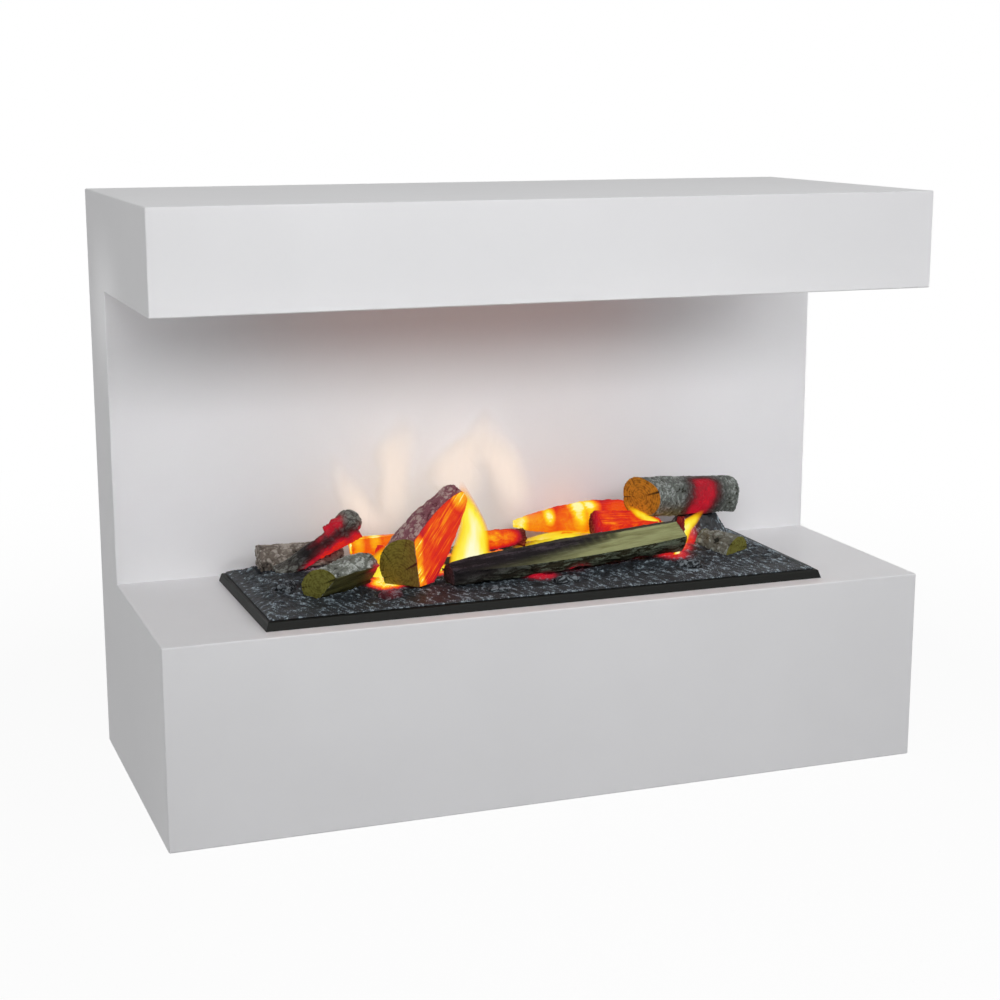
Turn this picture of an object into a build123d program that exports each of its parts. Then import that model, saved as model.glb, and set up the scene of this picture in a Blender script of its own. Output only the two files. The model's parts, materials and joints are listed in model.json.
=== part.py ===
from build123d import *
import os
from math import cos, pi, radians, sin
from typing import NamedTuple

# Water-vapour electric fireplace: a wall-hung C-shaped surround and its drop-in cassette.
# Millimetres. +X is the viewer's right, +Y points to the wall and +Z is up.
# The origin is the middle of the surround's underside, halfway between front and wall.

# Surround, outer sizes
WIDTH = 800.0
DEPTH = 346.0
HEIGHT = 600.0
BASE_HEIGHT = 200.0
CANOPY_HEIGHT = 98.0
COLUMN_DEPTH = 98.0
PANEL = 16.0
SOFT_EDGE = 1.5

# Back of the surround
BACK_BOARD = 8.0
BACK_RECESS = 20.0
BATTEN = 22.0
CABLE_HOLE_RADIUS = 25.0
CABLE_HOLE_X = 250.0
CABLE_HOLE_Z = 80.0
GROMMET_WALL = 5.0
GROMMET_FLANGE = 4.0
GROMMET_LIP = 2.0

# Hanging rail, a bent strip that hooks over a strip on the wall
RAIL_LENGTH = 560.0
RAIL_GAUGE = 3.0
RAIL_FLANGE = 44.0
RAIL_STEP = 12.0
RAIL_LIP = 30.0
RAIL_BELOW_TOP = 34.0
RAIL_SCREW_PITCH = 160.0
SCREW_RADIUS = 2.0
SCREW_HEAD_RADIUS = 4.0
SCREW_HEAD = 2.0
BACK_SCREW_PITCH = 170.0

# Air inlet in the floor of the surround
VENT_LENGTH = 110.0
VENT_DEPTH = 50.0
VENT_X = 160.0
GRILLE_BORDER = 10.0
GRILLE_GAUGE = 2.5
GRILLE_SLOT = 4.0
GRILLE_SLOTS = 9

# Log bed frame, as seen round the logs
FRAME_LENGTH = 594.0
FRAME_MARGIN = 20.0
FRAME_HEIGHT = 8.5
FRAME_DRAFT = 2.5
FRAME_WALL = 4.0
FRAME_LEDGE = 10.0
BED_INSET = 1.0
BED_EDGE = 1.5
BED_CROWN = 16.0
BED_SIDE_SLOPE = 34.0
BED_FRONT_SLOPE = 112.0
BED_BACK_SLOPE = 26.0
MOUND_HEIGHT = 38.0
MOUND_RADIUS = 44.0
MOUND_TOP_RADIUS = 21.0
MOUND_ACROSS = 0.754
MOUND_BACK = 0.433
FLAME_SLOT_MARGIN = 7.0
FLAME_SLOT_DEPTH = 26.0
FLAME_SLOT_BACK = 17.0
DIFFUSER = 2.0
LIGHT_HOLE_RADIUS = 5.0
LIGHT_HOLE_PITCH = 46.0
LIGHT_HOLES = 7
LIGHT_ROW_GAP = 6.0
LOG_FIT = 0.6
LOG_STATIONS = 5
STUB_TAPER = 0.75
BARK_POINTS = 10
BARK_LUMP = 0.045

# Cassette case, folded sheet steel
CASE_HEIGHT = 160.0
SHEET = 1.2
CASE_FLANGE = 7.5
FLANGE_GAP = 1.5
CASE_FIT = 1.0
CASE_SLOT = 4.0
CASE_SLOT_HEIGHT = 60.0
CASE_SLOTS = 7

# Water side of the cassette
SUMP_END_GAP = 10.8
SUMP_BAY_GAP = 7.0
SUMP_SIDE_GAP = 19.8
SUMP_HEIGHT = 44.0
SUMP_WALL = 2.5
SUMP_FLOOR = 3.0
SUMP_CORNER = 12.0
LID = 3.0
TANK_LENGTH = 126.0
TANK_SIDE_GAP = 8.0
TANK_TOP_GAP = 15.8
TANK_WALL = 2.0
TANK_CORNER = 16.0
TANK_MARGIN = 2.0
GRIP_LENGTH = 74.0
GRIP_DEPTH = 46.0
GRIP_RECESS = 24.0
GRIP_RADIUS = 6.0
NECK_RADIUS = 22.0
NECK_WALL = 3.0
NECK_LENGTH = 12.0
CAP_WALL = 3.7
CAP_FLOOR = 2.5
CAP_FIT = 0.3
CAP_SKIRT_GAP = 1.0
CAP_BELOW_TANK = 22.0
CAP_RIBS = 24
CAP_RIB_RADIUS = 0.8
LID_HOLE_FIT = 3.0
CAGE_RADIUS = 15.0
CAGE_POST_RADIUS = 1.5
CAGE_POST_CIRCLE = 12.5
CAGE_TOP = 2.0
CAGE_INSIDE = 13.5
STEM_RADIUS = 4.0
FLOW_GAP = 2.0
GUIDE_PIN_FIT = 0.2
STEM_BELOW_CAP = 9.0
VALVE_OPEN = 3.0
VALVE_DISC_RADIUS = 9.0
VALVE_DISC = 2.0
GUIDE_PIN_RADIUS = 2.0
GUIDE_PIN_ABOVE = 5.0
SPRING_RADIUS = 4.5
SPRING_WIRE = 0.45
SPRING_TURNS = 4
GASKET = 1.6
RUN_GAP = 0.3
TRANSDUCER_RADIUS = 20.0
TRANSDUCER_HEIGHT = 14.0
TRANSDUCER_SPACING = 96.0
DISC_RADIUS = 10.0
DISC_HEIGHT = 1.2
FLOAT_RADIUS = 11.0
FLOAT_HEIGHT = 12.0
FLOAT_TRAVEL = 14.0
FLOAT_X = 66.0
FLOAT_WALL_GAP = 12.5
FLOAT_STOP = 4.0
GUIDE_RADIUS = 3.0
GUIDE_FIT = 0.3

# Mist hood and its fan
HOOD_TANK_GAP = 30.0
HOOD_FAN_GAP = 10.0
HOOD_LAMP_GAP = 1.0
HOOD_FLANGE = 8.0
HOOD_GAUGE = 2.5
HOOD_WALL = 2.0
HOOD_SPREAD = 23.0
HOOD_TOP_DEPTH = 22.0
HOOD_TOP_GAP = 12.0
FAN_SIZE = 80.0
FAN_HEIGHT = 25.0
FAN_END_GAP = 5.0
FAN_BORE_RADIUS = 38.0
FAN_TIP_GAP = 1.2
FAN_HUB_RADIUS = 17.0
FAN_HUB_HEIGHT = 17.0
FAN_BLADES = 7
FAN_BLADE = 1.6
FAN_BLADE_PITCH = 38.0
FAN_BLADE_TWIST = 7.0
FAN_BLADE_HEIGHT = 14.0
FAN_SHAFT_RADIUS = 2.0
FAN_SHAFT_FIT = 0.05
FAN_BASE_RADIUS = 16.0
FAN_BASE = 3.0
FAN_STRUT = 4.0
FAN_SCREW_PITCH = 71.5
FAN_SCREW_HOLE = 2.2

# Sump latches
LATCH_FAN_GAP = 4.0
LATCH_WALL_GAP = 9.8
LATCH_PIN_RADIUS = 3.0
LATCH_PIN_FIT = 0.05
LATCH_POST_RADIUS = 5.0
LATCH_WIDTH = 9.0
LATCH_REACH = 14.0
LATCH_GAUGE = 3.0

# Lamps
LAMP_SPACING = 190.0
LAMP_WALL_GAP = 21.8
LAMP_LIFT = 78.0
LAMP_RADIUS = 17.0
LAMP_BELLY = 14.6
LAMP_CUP = 24.0
LAMP_BASE_RADIUS = 8.0
LAMP_BASE = 16.0
LAMP_GLASS = 1.5
CAPSULE_RADIUS = 3.0
CAPSULE_HEIGHT = 15.0
LAMP_RAIL_DEPTH = 36.0
LAMP_RAIL_LENGTH = 230.0
LAMP_RAIL_LIP = 14.0

# Electronics bay
BAY_LENGTH = 64.0
BAY_TOP_GAP = 20.0
SUPPLY_LENGTH = 46.0
SUPPLY_INLET_GAP = 15.0
SUPPLY_HEIGHT = 44.0
SUPPLY_FEET = 3.0
SUPPLY_VENTS = 9
BOARD_DEPTH = 112.0
BOARD = 1.6
BOARD_STANDOFF = 7.0
BOARD_SUPPLY_GAP = 9.0
BOARD_TOP_GAP = 15.6
RELAY_SIZE = 16.0
RELAYS = 3
SWITCH_FRONT = 46.0
SWITCH_LENGTH = 23.0
SWITCH_DEPTH = 17.0
SWITCH_LIP = 2.0
SWITCH_BODY = 14.0
SWITCH_WALL = 2.2
ROCKER_FIT = 0.5
ROCKER_TILT = 10.0
ROCKER_CROWN = 3.0
ROCKER_DROP = 5.0
ROCKER_PIN_RADIUS = 1.2
ROCKER_PIN_FIT = 0.05
ROCKER_PIN_LENGTH = 1.2
KNOB_FRONT = -6.0
KNOB_RADIUS = 12.0
KNOB_HEIGHT = 13.0
KNOB_FLUTES = 18
KNOB_FLUTE_RADIUS = 1.2
KNOB_GAP = 0.8
SHAFT_RADIUS = 3.0
SHAFT_FIT = 0.05
POT_RADIUS = 8.5
POT_HEIGHT = 10.0
POT_BUSH_RADIUS = 4.5
INLET_LIFT = 34.0
INLET_LENGTH = 28.0
INLET_HEIGHT = 21.0
INLET_DEPTH = 24.0
INLET_FLANGE = 10.0
INLET_LIP = 2.5
INLET_WALL = 2.5
INLET_PIN = 2.0
INLET_PIN_PITCH = 7.0
INLET_PIN_LENGTH = 16.0

# Places worked out from the sizes above
FRONT = -DEPTH / 2
BACK = DEPTH / 2
COLUMN = BACK - COLUMN_DEPTH
BED_Y = (FRONT + COLUMN) / 2
CANOPY = HEIGHT - CANOPY_HEIGHT
BOARD_REAR = BACK - BACK_RECESS
BOARD_FRONT = BOARD_REAR - BACK_BOARD
CASE_BOTTOM = BASE_HEIGHT - CASE_HEIGHT
CASE_FLOOR = CASE_BOTTOM + SHEET
BED_BOTTOM = BASE_HEIGHT + FRAME_HEIGHT
BED_TOP = BED_BOTTOM + BED_CROWN
SUMP_TOP = CASE_FLOOR + SUMP_HEIGHT
SUMP_BASIN = CASE_FLOOR + SUMP_FLOOR
LID_TOP = SUMP_TOP + LID
SLOT_Y = BED_Y + FLAME_SLOT_BACK
FRAME_DEPTH = COLUMN - FRONT - 2 * FRAME_MARGIN
CASE_LENGTH = FRAME_LENGTH - 2 * (FRAME_WALL + FLANGE_GAP + CASE_FLANGE)
CASE_DEPTH = FRAME_DEPTH - 2 * (FRAME_WALL + FLANGE_GAP + CASE_FLANGE)
CASE_INSIDE_X = CASE_LENGTH / 2 - SHEET
CASE_INSIDE_Y = CASE_DEPTH / 2 - SHEET
BAY_LEFT = CASE_LENGTH / 2 - BAY_LENGTH
BAY_X = (BAY_LEFT + SHEET + CASE_INSIDE_X) / 2
BAY_TOP = BASE_HEIGHT - BAY_TOP_GAP
SUMP_LEFT = -CASE_INSIDE_X + SUMP_END_GAP
SUMP_RIGHT = BAY_LEFT - SUMP_BAY_GAP
SUMP_LENGTH = SUMP_RIGHT - SUMP_LEFT
SUMP_DEPTH = 2 * (CASE_INSIDE_Y - SUMP_SIDE_GAP)
TANK_X = SUMP_LEFT - TANK_MARGIN + TANK_LENGTH / 2
TANK_DEPTH = SUMP_DEPTH - 2 * TANK_SIDE_GAP
TANK_HEIGHT = BASE_HEIGHT - TANK_TOP_GAP - LID_TOP
CAP_RADIUS = NECK_RADIUS + CAP_FIT + CAP_WALL
FAN_X = SUMP_RIGHT - FAN_END_GAP - FAN_SIZE / 2
HOOD_LEFT = TANK_X + TANK_LENGTH / 2 + HOOD_TANK_GAP
HOOD_RIGHT = FAN_X - FAN_SIZE / 2 - HOOD_FAN_GAP
HOOD_X = (HOOD_LEFT + HOOD_RIGHT) / 2
HOOD_LENGTH = HOOD_RIGHT - HOOD_LEFT - 2 * HOOD_FLANGE
HOOD_TOP_LENGTH = HOOD_LENGTH + 2 * HOOD_SPREAD
FLAME_SLOT_LENGTH = HOOD_TOP_LENGTH + 2 * FLAME_SLOT_MARGIN
LATCH_X = FAN_X - FAN_SIZE / 2 - LATCH_FAN_GAP
LATCH_BACK = CASE_INSIDE_Y - LATCH_WALL_GAP
LAMP_BACK = CASE_INSIDE_Y - LAMP_WALL_GAP
HOOD_DEPTH = 2 * (LAMP_BACK - LAMP_RADIUS - HOOD_LAMP_GAP)
SUPPLY_DEPTH = CASE_DEPTH - 2 * (INLET_DEPTH + SUPPLY_INLET_GAP)
FLOAT_BACK = SUMP_DEPTH / 2 - SUMP_WALL - FLOAT_WALL_GAP - FLOAT_RADIUS

pieces = {}


def box(x0, x1, y0, y1, z0, z1):
    """A block given by its limits along each axis."""
    return Pos((x0 + x1) / 2, (y0 + y1) / 2, (z0 + z1) / 2) * Box(x1 - x0, y1 - y0, z1 - z0)


def block(x, y, z, length, depth, height):
    """A block standing on height z, centred on x and y."""
    return Pos(x, y, z) * Box(length, depth, height, align=(Align.CENTER, Align.CENTER, Align.MIN))


def rod(x, y, z, radius, height):
    """An upright cylinder standing on height z."""
    return Pos(x, y, z) * Cylinder(radius, height, align=(Align.CENTER, Align.CENTER, Align.MIN))


def rounded_block(x, y, z, length, depth, height, corner):
    """A block with its four upright edges rounded."""
    outline = Plane((x, y, z)) * RectangleRounded(length, depth, corner)
    return extrude(outline, amount=height)


def tapered_block(bottom, top):
    """A ruled body between two level rectangles, each given as x, y, z, length, depth."""
    faces = [Plane((x, y, z)) * Rectangle(length, depth) for x, y, z, length, depth in (bottom, top)]
    return loft(faces, ruled=True)


# Surround: seven mitred panels follow the C outline, and two C-shaped sides close the ends
def across_prism(points):
    """An outline in Y and Z, drawn out over the whole width."""
    outline = make_face(Polyline(*[(0, y, z) for y, z in points], close=True))
    return extrude(outline, amount=WIDTH / 2, dir=(1, 0, 0), both=True)


def upright_mitre():
    """Limits of a panel that faces front: it narrows by one panel from its face at each end."""
    half = WIDTH / 2
    narrow = half - PANEL

    def limit(face):
        points = [(-half, face), (half, face), (narrow, face + PANEL), (-narrow, face + PANEL)]
        outline = make_face(Polyline(*[(x, y, 0) for x, y in points], close=True))
        return extrude(outline, amount=HEIGHT)

    return limit


def level_mitre(face, inward):
    """Limits of a level panel whose outer face is at that height; inward is +1 or -1."""
    half = WIDTH / 2
    narrow = half - PANEL
    inner = face + inward * PANEL
    points = [(-half, face), (half, face), (narrow, inner), (-narrow, inner)]
    outline = make_face(Polyline(*[(x, 0, z) for x, z in points], close=True))
    return extrude(outline, amount=DEPTH / 2, dir=(0, 1, 0), both=True)


outer = [
    (BACK, HEIGHT),
    (FRONT, HEIGHT),
    (FRONT, CANOPY),
    (COLUMN, CANOPY),
    (COLUMN, BASE_HEIGHT),
    (FRONT, BASE_HEIGHT),
    (FRONT, 0),
    (BACK, 0),
]
inner = [
    (BACK, HEIGHT - PANEL),
    (FRONT + PANEL, HEIGHT - PANEL),
    (FRONT + PANEL, CANOPY + PANEL),
    (COLUMN + PANEL, CANOPY + PANEL),
    (COLUMN + PANEL, BASE_HEIGHT - PANEL),
    (FRONT + PANEL, BASE_HEIGHT - PANEL),
    (FRONT + PANEL, PANEL),
    (BACK, PANEL),
]


def strip(index):
    """The piece of the wall between two corners of the outline, mitred at both corners."""
    after = index + 1
    return across_prism([outer[index], outer[after], inner[after], inner[index]])


facing = upright_mitre()
panels = {
    "top_panel": strip(0) & level_mitre(HEIGHT, -1),
    "canopy_fascia": strip(1) & facing(FRONT),
    "canopy_soffit": strip(2) & level_mitre(CANOPY, 1),
    "column_panel": strip(3) & facing(COLUMN),
    "hearth_panel": strip(4) & level_mitre(BASE_HEIGHT, -1),
    "base_fascia": strip(5) & facing(FRONT),
    "base_floor": strip(6) & level_mitre(0, 1),
}


def side_panel(hand):
    """A C-shaped side; hand is -1 on the left and +1 on the right."""
    outline = make_face(Polyline(*[(hand * WIDTH / 2, y, z) for y, z in outer], close=True))
    slab = extrude(outline, amount=PANEL, dir=(-hand, 0, 0))
    for panel in panels.values():
        slab = slab - panel
    return slab


# The lacquered outside has softly rounded edges all round
outside = fillet(across_prism(outer).edges(), SOFT_EDGE)
pieces["side_panel_left"] = side_panel(-1) & outside
pieces["side_panel_right"] = side_panel(1) & outside
panels = {name: panel & outside for name, panel in panels.items()}

case_opening = block(
    0, BED_Y, 0, CASE_LENGTH + 2 * CASE_FIT, CASE_DEPTH + 2 * CASE_FIT, BASE_HEIGHT + PANEL
)
panels["hearth_panel"] = panels["hearth_panel"] - case_opening
vent_opening = block(VENT_X, BED_Y, 0, VENT_LENGTH, VENT_DEPTH, PANEL)
panels["base_floor"] = panels["base_floor"] - vent_opening
pieces.update(panels)

# Back board on two battens, held by screws
inside_half = WIDTH / 2 - PANEL
cable_axis = Pos(CABLE_HOLE_X, BOARD_REAR, CABLE_HOLE_Z) * Rot(90, 0, 0)
cable_hole = cable_axis * Cylinder(CABLE_HOLE_RADIUS, 4 * BACK_BOARD)
back_board = box(-inside_half, inside_half, BOARD_FRONT, BOARD_REAR, PANEL, HEIGHT - PANEL) - cable_hole


def batten(hand):
    """An upright behind a side panel, to which the back board is screwed."""
    side = hand * inside_half
    edge = side - hand * BATTEN
    return box(min(side, edge), max(side, edge), BOARD_FRONT - BATTEN, BOARD_FRONT, PANEL, HEIGHT - PANEL)


battens = [batten(-1), batten(1)]

# Hanging rail on the back board
rail_top = HEIGHT - RAIL_BELOW_TOP
rail_step = rail_top - RAIL_FLANGE
rail_points = [
    (BOARD_REAR, rail_top),
    (BOARD_REAR, rail_step),
    (BOARD_REAR + RAIL_STEP, rail_step),
    (BOARD_REAR + RAIL_STEP, rail_step - RAIL_LIP),
    (BOARD_REAR + RAIL_STEP + RAIL_GAUGE, rail_step - RAIL_LIP),
    (BOARD_REAR + RAIL_STEP + RAIL_GAUGE, rail_step + RAIL_GAUGE),
    (BOARD_REAR + RAIL_GAUGE, rail_step + RAIL_GAUGE),
    (BOARD_REAR + RAIL_GAUGE, rail_top),
]
rail_outline = make_face(Polyline(*[(0, y, z) for y, z in rail_points], close=True))
rail = extrude(rail_outline, amount=RAIL_LENGTH / 2, dir=(1, 0, 0), both=True)


def screw(x, y, z, length):
    """A pan-head screw driven towards the front, its head resting on a face at y."""
    shank = Pos(x, y - length / 2, z) * Rot(90, 0, 0) * Cylinder(SCREW_RADIUS, length)
    head = Pos(x, y + SCREW_HEAD / 2, z) * Rot(90, 0, 0) * Cylinder(SCREW_HEAD_RADIUS, SCREW_HEAD)
    return shank + head


rail_screw_z = rail_step + RAIL_GAUGE + (RAIL_FLANGE - RAIL_GAUGE) / 2
rail_screws = []
for step in (-1.5, -0.5, 0.5, 1.5):
    rail_screws.append(
        screw(step * RAIL_SCREW_PITCH, BOARD_REAR + RAIL_GAUGE, rail_screw_z, RAIL_GAUGE + BACK_BOARD)
    )
back_screws = []
for hand in (-1, 1):
    for step in (-1, 0, 1):
        x = hand * (inside_half - BATTEN / 2)
        z = HEIGHT / 2 + step * BACK_SCREW_PITCH
        back_screws.append(screw(x, BOARD_REAR, z, BACK_BOARD + BATTEN / 2))
for fastener in rail_screws:
    rail = rail - fastener
for fastener in rail_screws + back_screws:
    back_board = back_board - fastener
for fastener in back_screws:
    battens = [upright - fastener for upright in battens]

pieces["back_board"] = back_board
pieces["back_battens"] = Compound(children=battens)
pieces["hanging_rail"] = rail
pieces["back_screws"] = Compound(children=rail_screws + back_screws)

# Rubber-lipped bush for the mains lead
grommet_length = BACK_BOARD + GROMMET_LIP
grommet = Cylinder(CABLE_HOLE_RADIUS, grommet_length, align=(Align.CENTER, Align.CENTER, Align.MAX))
grommet = grommet + Cylinder(
    CABLE_HOLE_RADIUS + GROMMET_FLANGE, GROMMET_LIP, align=(Align.CENTER, Align.CENTER, Align.MAX)
)
grommet = grommet - Cylinder(CABLE_HOLE_RADIUS - GROMMET_WALL, 4 * grommet_length)
pieces["cable_bush"] = Pos(CABLE_HOLE_X, BOARD_REAR + GROMMET_LIP, CABLE_HOLE_Z) * Rot(-90, 0, 0) * grommet

# Air inlet grille on the floor, and the rails that carry the cassette
grille_length = VENT_LENGTH + 2 * GRILLE_BORDER
grille_depth = VENT_DEPTH + 2 * GRILLE_BORDER
grille = block(VENT_X, BED_Y, PANEL, grille_length, grille_depth, GRILLE_GAUGE)
slot_pitch = VENT_LENGTH / GRILLE_SLOTS
for index in range(GRILLE_SLOTS):
    x = VENT_X + (index - (GRILLE_SLOTS - 1) / 2) * slot_pitch
    slot = Plane((x, BED_Y, PANEL)) * SlotOverall(VENT_DEPTH - GRILLE_SLOT, GRILLE_SLOT, rotation=90)
    grille = grille - extrude(slot, amount=GRILLE_GAUGE)
pieces["vent_grille"] = grille

rail_gap = grille_depth / 2 + BATTEN / 2 + CASE_FIT
carriers = []
for hand in (-1, 1):
    carriers.append(
        block(0, BED_Y + hand * rail_gap, PANEL, CASE_LENGTH - 2 * BATTEN, BATTEN, CASE_BOTTOM - PANEL)
    )
pieces["cassette_rails"] = Compound(children=carriers)

# Log bed: a drafted frame, a crowned bed of ash and embers, and a diffuser under it
frame = tapered_block(
    (0, BED_Y, BASE_HEIGHT, FRAME_LENGTH, FRAME_DEPTH),
    (0, BED_Y, BED_BOTTOM, FRAME_LENGTH - 2 * FRAME_DRAFT, FRAME_DEPTH - 2 * FRAME_DRAFT),
)
frame = fillet(frame.edges().group_by(Axis.Z)[-1], FRAME_WALL / 2)
frame = frame - block(
    0,
    BED_Y,
    BASE_HEIGHT,
    FRAME_LENGTH - 2 * FRAME_WALL,
    FRAME_DEPTH - 2 * FRAME_WALL,
    FRAME_HEIGHT - FRAME_WALL,
)
frame_border = FRAME_WALL + FRAME_LEDGE
frame = frame - block(
    0, BED_Y, BASE_HEIGHT, FRAME_LENGTH - 2 * frame_border, FRAME_DEPTH - 2 * frame_border, 2 * FRAME_HEIGHT
)
pieces["bed_frame"] = frame

bed_margin = FRAME_DRAFT + FRAME_WALL / 2 + BED_INSET
bed_length = FRAME_LENGTH - 2 * bed_margin
bed_depth = FRAME_DEPTH - 2 * bed_margin
crown_y = BED_Y + (BED_FRONT_SLOPE - BED_BACK_SLOPE) / 2
bed = block(0, BED_Y, BED_BOTTOM, bed_length, bed_depth, BED_EDGE)
bed = bed + tapered_block(
    (0, BED_Y, BED_BOTTOM + BED_EDGE, bed_length, bed_depth),
    (
        0,
        crown_y,
        BED_TOP,
        bed_length - 2 * BED_SIDE_SLOPE,
        bed_depth - BED_FRONT_SLOPE - BED_BACK_SLOPE,
    ),
)


def bark_outline(radius, turn):
    """A closed, slightly lumpy round outline; turn shifts the lumps round it."""
    points = []
    for index in range(BARK_POINTS):
        angle = 2 * pi * index / BARK_POINTS
        lumps = sin(2 * angle + turn) + sin(3 * angle + 2.3 * turn) + 0.6 * sin(4 * angle - turn)
        reach = radius * (1 + BARK_LUMP * lumps)
        points.append((reach * cos(angle), reach * sin(angle)))
    return make_face(Spline(*points, periodic=True))


# The round log lies across this mound of charred lumps
mound_x = MOUND_ACROSS * FRAME_LENGTH / 2
mound_y = BED_Y + MOUND_BACK * FRAME_DEPTH / 2
mound_top = BED_BOTTOM + MOUND_HEIGHT
mound = loft(
    [
        Plane((mound_x, mound_y, BED_BOTTOM)) * bark_outline(MOUND_RADIUS, 1.0),
        Plane((mound_x, mound_y, mound_top)) * bark_outline(MOUND_TOP_RADIUS, 1.0),
    ]
)
bed = bed + mound


class Log(NamedTuple):
    """One log. Its middle is placed by shares of the frame's half length and half depth."""

    across: float
    back: float
    rise: float
    length: float
    radii: tuple
    heading: float
    pitch: float
    seat: float
    turn: float
    bow: float = 0.0
    splits: tuple = ()
    saw: tuple = ()
    stubs: tuple = ()


# rise and seat are heights above the underside of the bed; each split is an angle round the log,
# from its level side upwards, and the distance from its axis to the split face. A slanting saw cut at
# the first end is the heading and pitch that it faces away from, and its distance in from that end.
# A stub of a branch is a share along the log, an angle round it, its radius and its reach
logs = {
    "log_left_rear": Log(
        -0.744, 0.587, 18.5, 90, (18.0, 18.5, 16.0), -3, -2, 10.0, 0.4, stubs=((-0.86, 176, 8.5, 24.0),)
    ),
    "ember_branch": Log(
        -0.710, 0.290, 34.0, 95, (10.0, 11.0, 14.5), -7, 30, 10.0, 2.2,
        stubs=((0.42, 95, 5.0, 17.0), (0.80, 100, 5.5, 19.0)),
    ),
    "log_left_front": Log(
        -0.686, -0.394, 19.5, 76, (19.0, 21.0, 17.0), 25, 6, 4.0, 3.1, 0.0, ((222, 7.0),), saw=(46, 6, 8.0)
    ),
    "split_log": Log(
        -0.374, -0.292, 52.5, 121, (31.0, 28.0, 13.0), 34, 40, 8.0, 5.0, 0.0, ((180, 12.0),), saw=(46, 10, 15.0)
    ),
    "log_front_long": Log(
        0.130, -0.308, 21.5, 269, (13.0, 20.0, 18.0), 6, 3, 6.0, 1.2, 3.0, ((120, 12.0), (85, 15.0))
    ),
    "log_mid_small": Log(-0.013, 0.462, 24.0, 52, (10.5, 10.5, 10.0), 2, 0, 14.5, 4.1),
    "log_rear_long": Log(0.306, 0.765, 32.0, 138, (5.0, 18.5, 17.0), -1, 0, 14.5, 0.9),
    "log_rear_red": Log(0.455, 0.345, 30.5, 74, (18.5, 17.0, 15.0), 3, -5, 14.5, 2.7, 0.0, ((120, 13.0),)),
    "log_round": Log(0.682, 0.385, 57.0, 120, (23.0, 23.5, 23.5), 4, -4, MOUND_HEIGHT, 1.8, saw=(28, 0, 10.0)),
    "log_right_small": Log(0.761, -0.106, 8.5, 46, (16.5, 18.0, 18.0), -66, -4, 5.0, 3.6),
    "log_rear_left": Log(-0.434, 0.702, 22.5, 70, (11.0, 12.5, 11.5), -3, 0, 13.5, 5.5, 0.0, ((90, 11.0),)),
}
kindling = [
    Log(0.614, 0.010, 25.5, 38, (7.0, 6.0, 5.0), 42, 72, 11.0, 1.1),
    Log(-0.524, 0.019, 23.5, 34, (5.5, 5.0, 4.5), 34, 71, 11.0, 2.4),
]
coals = [
    Log(-0.545, -0.625, 4.0, 24, (6.5, 8.0, 6.0), 20, 0, 2.5, 0.3),
    Log(-0.180, -0.740, 3.0, 20, (5.5, 6.5, 5.5), -15, 0, 2.0, 1.7),
    Log(0.075, -0.660, 3.5, 26, (6.0, 7.0, 5.5), 10, 0, 2.0, 2.9),
    Log(0.560, -0.560, 4.5, 22, (6.0, 7.5, 6.5), -25, 0, 3.0, 4.4),
    Log(-0.860, -0.180, 9.0, 24, (7.0, 8.0, 6.5), 55, 0, 6.0, 5.2),
]


def make_log(plan, grow=0.0):
    """A log lofted along its bowed axis, split where it was cleaved and flat where it seats."""
    middle = Vector(
        plan.across * FRAME_LENGTH / 2, BED_Y + plan.back * FRAME_DEPTH / 2, BED_BOTTOM + plan.rise
    )
    heading = radians(plan.heading)
    pitch = radians(plan.pitch)
    axis = Vector(cos(heading) * cos(pitch), sin(heading) * cos(pitch), sin(pitch))
    level = Vector(-sin(heading), cos(heading), 0)
    first, half, last = plan.radii
    sections = []
    for station in range(LOG_STATIONS):
        along = 2 * station / (LOG_STATIONS - 1) - 1
        radius = half + (last - first) / 2 * along + ((first + last) / 2 - half) * along**2
        rise = plan.bow * (1 - along**2)
        reach = along * (plan.length / 2 + grow)
        place = Plane(middle + axis * reach + Vector(0, 0, rise), x_dir=level, z_dir=axis)
        sections.append(place * bark_outline(radius + grow, plan.turn + 0.35 * station))
    log = loft(sections)
    span = 4 * plan.length
    across_grain = Plane(middle, x_dir=level, z_dir=axis)
    for angle, distance in plan.splits:
        outward = across_grain * Rot(0, 0, angle) * Pos(distance + grow + span / 2, 0, 0)
        log = log - outward * Box(span, span, span)
    if plan.saw:
        turn, tilt, inset = radians(plan.saw[0]), radians(plan.saw[1]), plan.saw[2]
        onward = Vector(cos(turn) * cos(tilt), sin(turn) * cos(tilt), sin(tilt))
        kept = Plane(middle - axis * (plan.length / 2 - inset) - onward * grow, z_dir=onward)
        log = log & kept * Pos(0, 0, span / 2) * Box(span, span, span)
    for along, angle, radius, reach in plan.stubs:
        root = across_grain * Pos(0, 0, along * plan.length / 2) * Rot(0, 0, angle) * Rot(0, 90, 0)
        taper = Cone(radius + grow, STUB_TAPER * radius + grow, reach + grow)
        log = log + root * Pos(0, 0, (reach + grow) / 2) * taper
    foot = BED_BOTTOM + plan.seat
    return log & block(middle.X, middle.Y, foot, span, span, span)


set_pieces = list(logs.values()) + kindling + coals
for plan in set_pieces:
    bed = bed - make_log(plan, LOG_FIT)

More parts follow.
